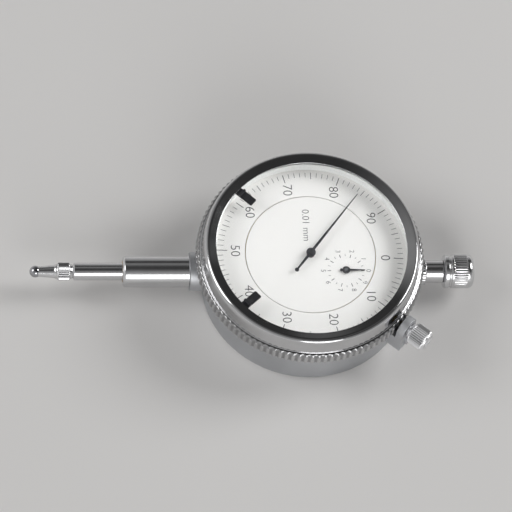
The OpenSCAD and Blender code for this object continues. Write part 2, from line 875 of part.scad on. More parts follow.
module pointer_hub() {
    flange_t = 0.3;
    rise = 0.4;
    color([0.08, 0.08, 0.09]) difference() {
        translate([0, 0, pointer_z - flange_t]) {
            cylinder(h = flange_t, r = pointer_bush_r + rise);
            cylinder(h = flange_t + hand_t + rise, r = pointer_bush_r);
        }
        translate([0, 0, pointer_z - past]) cylinder(h = past + hand_t + pivot_rest, r = pivot_r);
    }
}

module counter_arbor() {
    color("silver") translate(counter_at) {
        translate([0, 0, plate_z + pivot_rest])
            cylinder(h = counter_z + hand_t + ease - plate_z - pivot_rest, r = pivot_r);
        translate([0, 0, plate_top + ease]) cylinder(h = plate_gap - 2 * ease, r = arbor_r);
    }
}

module takeup_wheel() {
    color("goldenrod") translate(counter_at) wheel(takeup_phase, arbor_r);
}

module hairspring_collet() {
    color("goldenrod") translate(counter_at)
        ring(wheel_z + wheel_t, hair_z + hair_t - wheel_z - wheel_t, arbor_r, hair_in - eps);
}

module counter_pointer() {
    color([0.08, 0.08, 0.09]) translate([counter_at[0], counter_at[1], counter_z])
        hand(counter_len, tail = 1.4, base_w = 0.8, tip_w = 0.22, boss = 1, bore = pivot_r);
}

// Pieces that turn with the bezel

module bezel() {
    snap_out = skirt_r + snap_groove;
    ridge_foot = 1.1;
    ridge_side = 0.7;
    ridge_crown = 0.3;
    ridge_in = 0.2;
    ridge_fall = 0.1;
    color("silver") {
        rotate_extrude() polygon([
            [skirt_r, skirt_z], [cone_r - bezel_edge, skirt_z], [cone_r, skirt_z + bezel_edge],
            [cone_r, flange_top],
            [ridge_r + ridge_foot, lip_z], [ridge_r + ridge_side, bezel_top - edge],
            [ridge_r + ridge_crown, bezel_top], [ridge_r - ridge_in, bezel_top - ridge_fall],
            [window_r, lip_z + lip_edge], [window_r, lip_z],
            [groove_r, lip_z], [groove_r, crystal_top], [crystal_r + fit, crystal_top],
            [crystal_r + fit, crystal_z], [spacer_r + fit, crystal_z], [spacer_r + fit, dial_top],
            [skirt_r, dial_top], [skirt_r, snap_z + snap_groove], [snap_out, snap_z + snap_groove],
            [snap_out, snap_z - snap_groove], [skirt_r, snap_z - snap_groove]
        ]);
        difference() {
            translate([0, 0, skirt_z + bezel_edge]) linear_extrude(flange_h - 2 * bezel_edge)
                polygon(knurl_outline(bezel_r, knurl_depth, knurl_ridges));
            translate([0, 0, skirt_z]) cylinder(h = flange_h, r = cone_r - edge);
        }
    }
}

module crystal() {
    rim_edge = 0.2;
    color([0.9, 0.95, 1, 0.3]) rotate_extrude() polygon([
        [0, crystal_z], [crystal_r, crystal_z], [crystal_r, crystal_top - rim_edge],
        [crystal_r - rim_edge, crystal_top], [0, crystal_top]
    ]);
}

module dial_spacer() {
    color("white") ring(dial_top, crystal_z - dial_top, spacer_in_r, spacer_r);
}

module dial_ring() {
    color("white") ring(dial_z, dial_t, disc_r + 2 * ease, ring_r);
}

// Wire ring in the grooves of neck and skirt, open at one end
module bezel_snap_ring() {
    gap = 24;
    color("darkgray") translate([0, 0, snap_z]) rotate([0, 0, gap / 2])
        rotate_extrude(angle = 360 - gap) translate([snap_r, 0]) circle(r = snap_wire_r);
}

// Limit marker: a curved base in the lip's groove and a tab over the crystal with a finger nib
module limit_marker(angle) {
    base = 18;
    base_in = window_r + 2 * ease;
    tab_root = 0.7;
    nib = 0.6;
    nib_in = 1.4;
    color([0.08, 0.08, 0.09]) rotate([0, 0, angle]) {
        translate([0, 0, marker_z]) rotate([0, 0, -base / 2]) rotate_extrude(angle = base)
            translate([base_in, 0]) square([groove_r - ease - base_in, marker_t]);
        translate([window_r - marker_reach, -marker_w / 2, marker_z])
            cube([marker_reach + tab_root, marker_w, marker_t]);
        translate([window_r - nib_in, -marker_w / 2, marker_z]) cube([nib, marker_w, lip_z + nib - marker_z]);
    }
}

module limit_marker_left() {
    limit_marker(marker_angle);
}

module limit_marker_right() {
    limit_marker(-marker_angle);
}

// Bezel clamp thumbscrew and the soft pad on its tip

module clamp_pad() {
    pad_step = 0.25;
    color("goldenrod") on_clamp(clamp_z) translate([0, 0, pad_in])
        cylinder(h = pad_t, r = clamp_shank_r - pad_step);
}

module clamp_screw() {
    thumb_r = thumb_d / 2;
    thumb_step = 0.9;
    thumb_depth = 0.25;
    thumb_ridges = 30;
    end_h = 0.4;
    end_step = 0.5;
    color("silver") on_clamp(clamp_z) {
        translate([0, 0, screw_tip]) cylinder(h = thumb_in - screw_tip, r = clamp_shank_r);
        translate([0, 0, collar_in]) cylinder(h = thumb_in - collar_in, r = thumb_r - thumb_step);
        translate([0, 0, thumb_in]) linear_extrude(thumb_len)
            polygon(knurl_outline(thumb_r, thumb_depth, thumb_ridges));
        translate([0, 0, thumb_in + thumb_len])
            cylinder(h = end_h, r1 = thumb_r - edge, r2 = thumb_r - edge - end_step);
    }
}

case_body();
back_cover();
back_cover_screws();
stem();
stem_lower_bush();
stem_upper_bush();
top_bush();
dust_cap();
main_plate();
front_plate();
plate_pillars();
front_plate_screws();
movement_screws();
rear_cock();
cock_posts();
cock_screws();
lower_jewels();
upper_jewels();
guide_rail();
guide_rail_screws();
return_spring();
hairspring();
hairspring_stud();
dial_disc();
dial_feet();
clamp_block();
clamp_block_screw();
plunger();
contact_point();
contact_ball();
guide_pin();
rack_pinion();
first_wheel();
centre_pinion();
main_pointer();
pointer_hub();
counter_arbor();
takeup_wheel();
hairspring_collet();
counter_pointer();
bezel();
crystal();
dial_spacer();
dial_ring();
bezel_snap_ring();
limit_marker_left();
limit_marker_right();
clamp_pad();
clamp_screw();
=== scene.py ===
"""Visible pieces, finishes and stage of a plunger dial indicator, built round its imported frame, in metres."""

import json
import math

import bmesh
import bpy
import numpy as np
from bpy.props import FloatProperty, FloatVectorProperty, IntProperty, PointerProperty, StringProperty
from mathutils import Matrix, Vector


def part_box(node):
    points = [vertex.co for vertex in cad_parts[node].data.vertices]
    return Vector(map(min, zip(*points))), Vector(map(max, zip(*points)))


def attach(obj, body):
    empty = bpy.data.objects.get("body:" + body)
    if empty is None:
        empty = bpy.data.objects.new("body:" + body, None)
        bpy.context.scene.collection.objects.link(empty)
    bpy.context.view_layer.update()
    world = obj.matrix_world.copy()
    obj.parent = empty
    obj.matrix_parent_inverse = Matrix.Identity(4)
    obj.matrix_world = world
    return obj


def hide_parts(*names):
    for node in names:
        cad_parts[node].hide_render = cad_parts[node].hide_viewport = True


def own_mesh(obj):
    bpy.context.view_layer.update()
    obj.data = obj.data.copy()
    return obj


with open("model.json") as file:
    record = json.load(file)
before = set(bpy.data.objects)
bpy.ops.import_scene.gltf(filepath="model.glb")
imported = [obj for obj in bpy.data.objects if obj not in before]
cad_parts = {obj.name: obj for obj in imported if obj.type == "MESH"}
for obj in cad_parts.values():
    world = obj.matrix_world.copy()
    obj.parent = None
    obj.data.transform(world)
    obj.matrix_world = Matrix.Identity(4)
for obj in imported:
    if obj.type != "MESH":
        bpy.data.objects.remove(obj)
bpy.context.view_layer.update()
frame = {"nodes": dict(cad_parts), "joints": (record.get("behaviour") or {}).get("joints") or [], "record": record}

bl_info = {
    "name": "Dial indicator",
    "version": (1, 0, 0),
    "blender": (4, 5, 0),
    "location": "View3D > Sidebar > Indicator",
    "description": "Builds the visible pieces, finishes and stage of a plunger dial indicator",
    "category": "Add Mesh",
}

MM = 0.001
TAU = 2 * math.pi
SAME_PLACE = 1e-8  # points closer than this are merged
SHARP_EDGE = math.radians(40)  # sharper edges are not smoothed
PER_RIDGE = 6  # columns of points on a knurl's ridge

# Places that the frame gives: boxes of its nodes, axes of its joints, colours of its material slots
RECORD = frame["record"]
JOINT = {joint["name"]: joint for joint in frame["joints"]}
SLOT_COLOUR = {m["slot"]: tuple(m["base_color"][:3]) for m in RECORD["materials"]}
NODE_SLOT = {part["node"]: part["material_slot"] for part in RECORD["subparts"]}


def low(node, axis):
    """Lowest coordinate of a frame node along one axis."""
    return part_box(node)[0]["xyz".index(axis)]


def high(node, axis):
    """Highest coordinate of a frame node along one axis."""
    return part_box(node)[1]["xyz".index(axis)]


def span(node, axis):
    """Lowest and highest coordinate of a frame node along one axis."""
    return low(node, axis), high(node, axis)


SPINDLE_Z = sum(span("stem", "z")) / 2
DIAL_TOP = high("dial_ring", "z")
COUNTER_AT = tuple(JOINT["counter_turn"]["pos_m"][:2])
CLAMP_OUT = -Vector(JOINT["clamp_pad_slide"]["axis"])
CLAMP_Z = JOINT["clamp_screw_turn"]["pos_m"][2]
CLAMP_TURN = math.atan2(CLAMP_OUT.y, CLAMP_OUT.x)


# Sizes and colours that a user would change

def maker(kind, scale=1, **more):
    """A function that makes properties of one kind: a name, a default times the scale, and a description."""
    def make(name, value, description):
        return kind(name=name, description=description, default=value * scale, **more)
    return make


# Lengths are given in millimetres, angles in degrees and power in watts
length = maker(FloatProperty, MM, unit="LENGTH", precision=5)
angle_of = maker(FloatProperty, math.radians(1), subtype="ANGLE")
number_of = maker(IntProperty)
power = maker(FloatProperty, unit="POWER")


def colour(slot):
    """A colour property for a material slot, whose default is the record's colour for it."""
    name = slot.replace("_", " ")
    return FloatVectorProperty(
        name=name.capitalize(), description=f"Base colour of the {name} finish", default=SLOT_COLOUR[slot],
        subtype="COLOR", min=0.0, max=1.0,
    )


class IndicatorSizes(bpy.types.PropertyGroup):
    """Sizes of the turned, cut and sheet pieces."""

    bezel_radius: length("Bezel radius", high("bezel", "x") / MM, "Radius over the bezel's knurl")
    window_radius: length("Window radius", 24.1, "Radius of the opening in the bezel's lip")
    knurl_depth: length("Knurl depth", 0.35, "Depth of the bezel's grooves")
    knurl_ridges: number_of("Knurl ridges", 110, "Ridges round the bezel's flange")
    edge: length("Edge softening", 0.22, "How far a turned edge is rounded")
    crystal_rise: length("Crystal rise", 0.1, "Height of the crystal's crown")
    hand_reach: length("Pointer reach", 21, "From the dial's axis to the pointer's tip")
    hand_tail: length("Pointer tail", 6.8, "From the dial's axis to the tail's end")
    hand_turn: angle_of("Pointer turn", 52.6, "Turn of the pointer at rest, from the cap's side")
    hand_base: length("Pointer base", 0.38, "Half width of the pointer at its hub")
    hand_tip: length("Pointer tip", 0.09, "Half width of the pointer at its tip")
    hand_boss: length("Pointer boss", 1.2, "Radius of the pointer's flat boss")
    hand_weight: length("Pointer weight", 0.55, "Radius of the weight on the pointer's tail")
    marker_width: length("Marker width", 2.2, "Width of a limit marker's tab")
    marker_base: angle_of("Marker base", 18, "Angle of a limit marker's base in the groove")
    marker_turn: angle_of("Marker turn", 137.6, "Turn of a limit marker at rest, to either side of the cap")
    spring_wire: length("Spring wire", 0.4, "Wire diameter of the return spring")
    spring_turns: number_of("Spring turns", 16, "Turns of the return spring")


class IndicatorScale(bpy.types.PropertyGroup):
    """Printing on the dial."""

    divisions: number_of("Divisions", 100, "Divisions round the outer scale")
    scale_radius: length("Scale radius", 23.4, "Outer ends of the scale's lines")
    long_line: length("Long line", 2.3, "Length of the lines that have a figure")
    middle_line: length("Middle line", 1.8, "Length of the lines halfway between figures")
    short_line: length("Short line", 1.3, "Length of the other lines")
    line_width: length("Line width", 0.11, "Width of the scale's short lines")
    figure_radius: length("Figure radius", 19, "Radius of the outer scale's figures")
    figure_height: length("Figure height", 2.3, "Height of the outer scale's figures")
    turn: angle_of("Scale turn", -3, "Turn of the printed scale's zero from the cap's side")
    counter_radius: length("Counter radius", 4.7, "Outer ends of the counter's lines")
    counter_height: length("Counter figure height", 1.15, "Height of the counter's figures")
    reading: StringProperty(name="Reading", description="Value of one division", default="0.01 mm")
    reading_height: length("Reading height", 1.75, "Height of the figures of the reading")
    ink: length("Ink thickness", 0.012, "Height of the ink over the dial")


class IndicatorColours(bpy.types.PropertyGroup):
    """Base colours of the finishes, one for each of the record's material slots."""

    __annotations__ = {slot: colour(slot) for slot in SLOT_COLOUR}


class IndicatorStage(bpy.types.PropertyGroup):
    """Camera, lamps and floor."""

    view_width: length("View width", 129, "Width that the camera sees")
    view_angle: angle_of("View angle", 7, "Camera's field of view")
    key_watts: power("Key lamp", 7.9, "Lamp on the cap's side")
    front_watts: power("Front lamp", 3.3, "Low lamp in front")
    stem_watts: power("Stem lamp", 3.6, "Lamp on the stem's side")
    lamp_size: length("Lamp size", 700, "Diameter of each lamp")
    floor_colour: FloatVectorProperty(
        name="Floor", description="Colour of the floor", default=(0.80, 0.79, 0.78), subtype="COLOR"
    )


# Surfaces worked out as whole arrays; a shell is its points and its faces

def grid_faces(rows, columns, round_rows=False):
    """Quads between neighbours in a grid of points that joins up round its columns, and may round rows."""
    row = np.arange(rows if round_rows else rows - 1)
    r, c = np.meshgrid(row, np.arange(columns), indexing="ij")
    r_next, c_next = (r + 1) % rows, (c + 1) % columns
    corners = (r * columns + c, r * columns + c_next, r_next * columns + c_next, r_next * columns + c)
    return np.stack(corners, -1).reshape(-1, 4)


def outward(points, faces):
    """The shell with its faces turned outwards: reversed where the volume that they enclose is negative."""
    a, b, c = (points[faces[:, k]] for k in range(3))
    volume = np.einsum("ij,ij->", a, np.cross(b, c))
    if faces.shape[1] == 4:
        volume += np.einsum("ij,ij->", a, np.cross(c, points[faces[:, 3]]))
    return points, faces if volume > 0 else faces[:, ::-1]


def soften(corners, reach, steps=5, ring=True):
    """Profile whose corner C becomes (1-s)^2 A + 2s(1-s) C + s^2 B, with A and B on its two sides.

    A and B lie at the given reach, or at 0.36 of the shorter side; one more point on each side,
    a quarter of the reach further on, keeps the flats flat. An open profile keeps its two ends.
    """
    p = np.asarray(corners, float)
    to_last, to_next = np.roll(p, 1, 0) - p, np.roll(p, -1, 0) - p
    last_len = np.maximum(np.linalg.norm(to_last, axis=1), 1e-12)
    next_len = np.maximum(np.linalg.norm(to_next, axis=1), 1e-12)
    t = np.minimum(reach, 0.36 * np.minimum(last_len, next_len))
    if not ring:
        t[[0, -1]] = 0
    a = p + to_last / last_len[:, None] * t[:, None]
    b = p + to_next / next_len[:, None] * t[:, None]
    s = np.linspace(0, 1, steps)[None, :, None]
    curve = (1 - s) ** 2 * a[:, None] + 2 * s * (1 - s) * p[:, None] + s ** 2 * b[:, None]
    before = a + 0.25 * (a - p)
    after = b + 0.25 * (b - p)
    return np.concatenate([before[:, None], curve, after[:, None]], 1).reshape(-1, 2)


def lathe(profile, sides, cut=None, ring=True):
    """Surface of revolution: profile point (r, h) at turn u goes to (r cos u, r sin u, h).

    cut(r, h, u) is what a knurl takes off the radius. A profile that is not a ring starts and ends
    on the axis, and its two poles close.
    """
    u = np.arange(sides) * TAU / sides
    r = np.repeat(profile[:, :1], sides, 1)
    h = np.repeat(profile[:, 1:], sides, 1)
    if cut is not None:
        r = r - cut(r, h, u[None, :])
    points = np.stack([r * np.cos(u), r * np.sin(u), h], -1).reshape(-1, 3)
    return outward(points, grid_faces(len(profile), sides, ring))


def knurl(ridges, depth, radius, start):
    """Cut of a straight knurl: depth times half of 1 - cos(ridges u).

    It grows from nothing at the share start of the radius to its full depth at the radius.
    """
    def cut(r, h, u):
        share = np.clip((r - start * radius) / (radius - start * radius), 0, 1)
        return depth * share * (0.5 - 0.5 * np.cos(ridges * u))
    return cut


def strip(along, half, bottom, top, bevel, across=2, polar=False):
    """Flat bar: at each station along it, a bevelled section of the given half width, closed at both ends.

    Along and half are x and y, or for a polar bar a radius and half an angle, so that its ends are arcs.
    """
    half = np.broadcast_to(np.asarray(half, float), len(along))
    side = bevel / np.maximum(along, 1e-9) if polar else np.full(len(along), bevel)
    drawn = np.maximum(half - side, 0.3 * half)
    v = np.linspace(-1, 1, across)
    y = np.concatenate([drawn[:, None] * v, half[:, None], half[:, None],
                        drawn[:, None] * v[::-1], -half[:, None], -half[:, None]], 1)
    level = np.concatenate([np.full(across, top), [top - bevel, bottom + bevel],
                            np.full(across, bottom), [bottom + bevel, top - bevel]])
    z = np.broadcast_to(level, y.shape)
    x = np.repeat(np.asarray(along, float)[:, None], y.shape[1], 1)
    middle = np.full((1, y.shape[1]), (bottom + top) / 2)
    x = np.concatenate([x[:1], x, x[-1:]])
    y = np.concatenate([0 * y[:1], y, 0 * y[-1:]])
    z = np.concatenate([middle, z, middle])
    flat = (x * np.cos(y), x * np.sin(y)) if polar else (x, y)
    points = np.stack([*flat, z], -1).reshape(-1, 3)
    return outward(points, grid_faces(len(along) + 2, y.shape[1]))


def helix(start, stop, coil, wire, turns, steps=28, sides=8):
    """Spring along x: coil radius R at turn a, and a wire circle b on it, with closed end turns.

    The point is x(a) + w sin b along the axis and R + w cos b from it; x rises slowly over the first and
    last turn, and evenly between them.
    """
    a = np.linspace(0, turns, turns * steps + 1)
    rise = np.interp(a, [0, 1, turns - 1, turns], [0, 2 * wire, stop - start - 2 * wire, stop - start])
    b = np.arange(sides) * TAU / sides
    x = (start + rise)[:, None] + wire * np.sin(b)
    r = np.broadcast_to(coil + wire * np.cos(b), x.shape)
    x = np.concatenate([np.full((1, sides), start), x, np.full((1, sides), stop)])
    r = np.concatenate([np.full((1, sides), coil), r, np.full((1, sides), coil)])
    a = np.concatenate([a[:1], a, a[-1:]])[:, None] * TAU
    points = np.stack([x, r * np.cos(a), r * np.sin(a)], -1).reshape(-1, 3)
    return outward(points, grid_faces(len(a), sides))


def line_bars(turns, inner, outer, width, bottom, top, centre=(0, 0)):
    """Printed lines: for each turn a, a box from inner to outer radius, half a width to each side."""
    i, j, k = (c.ravel() for c in np.meshgrid([0, 1], [-0.5, 0.5], [0, 1], indexing="ij"))
    turns, inner, outer, width = np.broadcast_arrays(turns, inner, outer, width)
    r = inner[:, None] + (outer - inner)[:, None] * i
    t = width[:, None] * j
    cos, sin = np.cos(turns)[:, None], np.sin(turns)[:, None]
    z = np.broadcast_to(bottom + (top - bottom) * k, r.shape)
    points = np.stack([centre[0] + r * cos - t * sin, centre[1] + r * sin + t * cos, z], -1).reshape(-1, 3)
    box = np.array([[4, 6, 7, 5], [0, 1, 3, 2], [2, 3, 7, 6], [0, 4, 5, 1], [1, 5, 7, 3], [0, 2, 6, 4]])
    faces = (np.arange(len(turns))[:, None, None] * 8 + box).reshape(-1, 4)
    return outward(points, faces)


def figures(text, height, place, bottom, top, thinner=0.012):
    """Letters as a thin closed slab, middle at place, read with +X up: letter (x, y) goes to (y, -x)."""
    font = bpy.data.curves.new("figures", "FONT")
    font.body = text
    font.resolution_u = 4
    font.offset = -thinner
    font.extrude = 0.5
    carrier = bpy.data.objects.new("figures", font)
    bpy.context.scene.collection.objects.link(carrier)
    shaped = carrier.evaluated_get(bpy.context.evaluated_depsgraph_get())
    mesh = bpy.data.meshes.new_from_object(shaped)
    mesh.calc_loop_triangles()
    points = np.empty(len(mesh.vertices) * 3)
    mesh.vertices.foreach_get("co", points)
    faces = np.empty(len(mesh.loop_triangles) * 3, int)
    mesh.loop_triangles.foreach_get("vertices", faces)
    bpy.data.objects.remove(carrier)
    bpy.data.curves.remove(font)
    bpy.data.meshes.remove(mesh)
    points = points.reshape(-1, 3)
    small, large = points.min(0), points.max(0)
    flat = (points[:, :2] - (small + large)[:2] / 2) * height / (large - small)[1]
    level = np.where(points[:, 2] > 0, top, bottom)
    turned = np.stack([place[0] + flat[:, 1], place[1] - flat[:, 0], level], -1)
    return outward(turned, faces.reshape(-1, 3))


def figures_round(values, turns, radius, height, bottom, top, centre=(0, 0)):
    """Figures on a circle: for each value and its turn a, the middle at (r cos a, r sin a)."""
    places = np.stack([centre[0] + radius * np.cos(turns), centre[1] + radius * np.sin(turns)], -1)
    return [figures(str(value), height, place, bottom, top) for value, place in zip(values, places)]


def on_spindle(shell):
    """A lathe shell laid along the plunger's axis: (x, y, h) goes to (h, x, y), raised to the axis."""
    points, faces = shell
    return points[:, [2, 0, 1]] + (0, 0, SPINDLE_Z), faces


def on_clamp(shell):
    """A lathe shell laid along the bezel clamp's axis, outwards from the dial's axis."""
    points, faces = shell
    across = np.array([-CLAMP_OUT.y, CLAMP_OUT.x, 0])
    axes = np.stack([across, (0, 0, 1), CLAMP_OUT])
    return points @ axes + (0, 0, CLAMP_Z), faces


def turned_about_dial(shell, angle):
    """A shell turned by an angle about the dial's axis."""
    points, faces = shell
    turn = np.array(Matrix.Rotation(angle, 3, "Z"))
    return points @ turn.T, faces


def make_piece(name, shells, body, slot, replaces=(), look=None):
    """One mesh object of closed shells, riding a body: poles merged, smooth but for sharp edges."""
    starts = np.cumsum([0] + [len(points) for points, faces in shells])
    points = np.concatenate([points for points, faces in shells])
    faces = [face for start, (_, quads) in zip(starts, shells) for face in (quads + start).tolist()]
    mesh = bpy.data.meshes.new(name)
    mesh.from_pydata(points.tolist(), [], faces)
    form = bmesh.new()
    form.from_mesh(mesh)
    bmesh.ops.remove_doubles(form, verts=form.verts, dist=SAME_PLACE)
    bmesh.ops.dissolve_degenerate(form, edges=form.edges, dist=SAME_PLACE)
    form.to_mesh(mesh)
    form.free()
    if not mesh.polygons:
        raise RuntimeError(f"{name} has no faces")
    mesh.shade_smooth()
    mesh.set_sharp_from_angle(angle=SHARP_EDGE)
    mesh.materials.append(finish(look or slot))
    piece = bpy.data.objects.new(name, mesh)
    bpy.context.scene.collection.objects.link(piece)
    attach(piece, body)
    if replaces:
        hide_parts(*replaces)
    return piece


def make_print(name, shells, body):
    """A piece of printing ink."""
    make_piece(name, shells, body, "hand_black", look="printing_ink")


# Finishes

class Value:
    """One socket of a shader tree; arithmetic on it adds Math nodes to that tree."""

    def __init__(self, shader, socket):
        self.shader = shader
        self.socket = socket

    def math(self, operation, *terms):
        """A Math node on the given terms."""
        return self.shader.node("Math", {"operation": operation}, dict(enumerate(terms)))

    def __add__(self, other):
        return self.math("ADD", self, other)

    def __sub__(self, other):
        return self.math("SUBTRACT", self, other)

    def __rsub__(self, other):
        return self.math("SUBTRACT", other, self)

    def __mul__(self, other):
        return self.math("MULTIPLY", self, other)

    def __pow__(self, other):
        return self.math("POWER", self, other)

    def above(self, edge, over):
        """0 below an edge, rising to 1 at the distance over past it."""
        inputs = {"From Min": edge, "From Max": edge + over, "Value": self}
        return self.shader.node("MapRange", {"interpolation_type": "SMOOTHSTEP"}, inputs)

    __radd__ = __add__
    __rmul__ = __mul__


class Shader:
    """Node tree of a material or of the world."""

    def __init__(self, owner):
        owner.use_nodes = True
        self.tree = owner.node_tree
        self.tree.nodes.clear()

    def node(self, kind, settings=None, inputs=None, output=0):
        """A shader node of a kind, its settings set first, then the values or links of its sockets."""
        made = self.tree.nodes.new("ShaderNode" + kind)
        for key, value in (settings or {}).items():
            setattr(made, key, value)
        for key, value in (inputs or {}).items():
            if isinstance(value, Value):
                self.tree.links.new(value.socket, made.inputs[key])
            else:
                made.inputs[key].default_value = value
        return Value(self, made.outputs[output]) if made.outputs else None

    def place(self, size=(1, 1, 1), centre=(0, 0, 0), turn=(0, 0, 0)):
        """Object coordinates about a centre, along turned axes, in units of a size."""
        raw = self.node("TexCoord", output="Object")
        inputs = {"Vector": raw, "Location": centre, "Rotation": turn, "Scale": size}
        return self.node("Mapping", {"vector_type": "TEXTURE"}, inputs)

    def parts(self, vector):
        """The three numbers of a vector."""
        first = self.node("SeparateXYZ", None, {0: vector})
        return [Value(self, socket) for socket in first.socket.node.outputs]

    def about(self, vector):
        """A vector's distance from its own Z axis, and its height."""
        x, y, height = self.parts(vector)
        return (x * x + y * y) ** 0.5, height

    def noise(self, where, detail=3.0, rough=0.55):
        """Soft noise between 0 and 1, one bump per unit of where."""
        return self.node("TexNoise", None,
                         {"Vector": where, "Scale": 1.0, "Detail": detail, "Roughness": rough})

    def specks(self, size, detail=3.0):
        """Noise of one size in all directions."""
        return self.noise(self.place((size,) * 3), detail)

    def rings(self, pitch, centre, turn):
        """Tool marks about an axis: noise on the radius and the height alone."""
        radius, height = self.about(self.place((pitch,) * 3, centre, turn))
        return self.noise(self.node("CombineXYZ", None, {0: radius, 1: height}), 2.0, 0.6)

    def mix(self, share, first, second):
        """A colour between two."""
        ends = [c if isinstance(c, Value) else (*c, 1) for c in (first, second)]
        return self.node("Mix", {"data_type": "RGBA"}, {0: share, 6: ends[0], 7: ends[1]}, 2)

    def surface(self, inputs, bump=None, depth=0.0):
        """The Principled surface, with the bump's height in metres."""
        if bump is not None:
            inputs = {**inputs, "Normal": self.node("Bump", None, {"Height": bump, "Distance": depth})}
        self.node("OutputMaterial", None, {0: self.node("BsdfPrincipled", None, inputs)})


def shade(tint, factor):
    """A colour made lighter or darker."""
    return tuple(min(1.0, c * factor) for c in tint)


Z_AXIS = ((0, 0, 0), (0, 0, 0))
SPINDLE = ((0, 0, SPINDLE_Z), (0, math.pi / 2, 0))
CLAMP = ((0, 0, CLAMP_Z), (0, math.pi / 2, CLAMP_TURN))


def turned_metal(shader, tint, rough, axis=Z_AXIS, pitch=0.06 * MM, depth=0.0006 * MM, spread=0.1):
    """Metal turned or ground about an axis: ring marks, handling smudges and a few fine scratches."""
    marks = shader.rings(pitch, *axis)
    smudge = shader.specks(5 * MM)
    streaks = shader.place((0.05 * MM, 1.6 * MM, 1.6 * MM), turn=(0.4, 0.3, 0.6))
    scratch = shader.noise(streaks, 1.0).above(0.66, 0.06)
    tone = 0.55 * smudge + 0.45 * marks
    shader.surface({
        "Base Color": shader.mix(tone, shade(tint, 0.9), shade(tint, 1.06)),
        "Metallic": 1.0,
        "Roughness": rough + spread * (marks - 0.5) + 0.5 * spread * smudge + 0.06 * scratch,
    }, marks + 0.6 * scratch, depth)


def polished_plating(shader, tint):
    """Bright plating: nearly a mirror, with polishing swirls, faint haze and a dull knurl, whose grooves are
    darkened as painted shade.
    """
    swirl = shader.rings(0.05 * MM, *Z_AXIS)
    haze = shader.specks(4 * MM, 4.0)
    radius, _ = shader.about(shader.place())
    crest = high("bezel", "x")
    knurled = radius.above(crest - 0.9 * MM, 0.4 * MM)
    # Painted shade: the knurl's grooves and the flange band beside them are darkened towards near black
    shaded_groove = knurled - radius.above(crest - 0.3 * MM, 0.24 * MM)
    plating = shader.mix(haze, shade(tint, 0.68), shade(tint, 0.82))
    shader.surface({
        "Base Color": shader.mix(shaded_groove * (0.35 + 0.4 * haze), plating, shade(tint, 0.16)),
        "Metallic": 1.0,
        "Roughness": 0.045 + 0.05 * haze + 0.05 * swirl + 0.12 * knurled,
    }, swirl, 0.0003 * MM)


def cast_metal(shader, tint):
    """Satin die casting: fine tumbled grain, cloudy tone, and a lower edge rubbed brighter and smoother."""
    grain = shader.specks(0.16 * MM, 2.0)
    cloud = shader.specks(7 * MM, 4.0)
    radius, z = shader.about(shader.place())
    wall = radius.above(high("case_body", "y") - 0.6 * MM, 0.4 * MM)
    rubbed = wall * (1 - (z + 0.5 * MM * cloud).above(low("case_body", "z") + 0.3 * MM, 0.6 * MM))
    casting = shader.mix(0.7 * cloud + 0.3 * grain, shade(tint, 0.84), shade(tint, 1.1))
    shader.surface({
        "Base Color": shader.mix(0.7 * rubbed, casting, shade(tint, 1.35)),
        "Metallic": 1.0,
        "Roughness": 0.36 + 0.14 * cloud + 0.08 * grain - 0.16 * rubbed,
    }, grain, 0.006 * MM)


def brushed_brass(shader, tint, rough=0.3):
    """Sheet brass brushed one way, with a warm tarnish in patches."""
    lines = shader.noise(shader.place((6 * MM, 0.05 * MM, 0.05 * MM)), 2.0)
    tarnish = shader.specks(3.5 * MM, 4.0).above(0.42, 0.3)
    worn = shader.mix(lines, shade(tint, 0.92), shade(tint, 1.08))
    shader.surface({
        "Base Color": shader.mix(0.5 * tarnish, worn, (tint[0] * 0.74, tint[1] * 0.62, tint[2] * 0.5)),
        "Metallic": 1.0,
        "Roughness": rough + 0.1 * lines + 0.12 * tarnish,
    }, lines, 0.0015 * MM)


def tempered_steel(shader, tint):
    """Blued spring steel: the heat tint drifts from grey to blue."""
    drift = shader.specks(2.2 * MM, 2.0)
    fine = shader.specks(0.12 * MM, 2.0)
    shader.surface({
        "Base Color": shader.mix(drift, (tint[0] * 0.72, tint[1] * 0.84, tint[2] * 1.25), shade(tint, 1.15)),
        "Metallic": 1.0,
        "Roughness": 0.24 + 0.12 * fine + 0.06 * drift,
    }, fine, 0.001 * MM)


def ruby(shader, tint):
    """Polished red stone with a clear coat and faint growth bands."""
    bands = shader.noise(shader.place((0.5 * MM, 0.5 * MM, 0.12 * MM)), 2.0)
    shader.surface({
        "Base Color": shader.mix(bands, shade(tint, 0.7), (tint[0] * 1.15, tint[1] * 1.6, tint[2] * 1.5)),
        "Roughness": 0.08 + 0.08 * bands,
        "Coat Weight": 0.6,
        "IOR": 1.77,
    })


def enamel(shader, tint):
    """Matt white enamel on sheet metal: an even stipple, and a slight yellowing in broad patches."""
    stipple = shader.specks(0.09 * MM, 2.0)
    patch = shader.specks(9 * MM, 3.0)
    warm = (tint[0], tint[1] * 0.976, tint[2] * 0.97)
    yellowed = (warm[0] * 0.965, warm[1] * 0.965, warm[2] * 0.955)
    shader.surface({
        "Base Color": shader.mix(0.6 * patch + 0.4 * stipple, warm, yellowed),
        "Roughness": 0.46 + 0.1 * stipple + 0.06 * patch,
    }, stipple, 0.0012 * MM)


def moulded_plastic(shader, tint):
    """Moulded white plastic with a soft sheen and a fine spark-eroded grain."""
    grain = shader.specks(0.07 * MM, 2.0)
    flow = shader.noise(shader.place((6 * MM, 6 * MM, 1.2 * MM)), 2.0)
    shader.surface({
        "Base Color": shader.mix(flow, tint, shade(tint, 0.94)),
        "Roughness": 0.38 + 0.12 * grain,
    }, grain, 0.001 * MM)


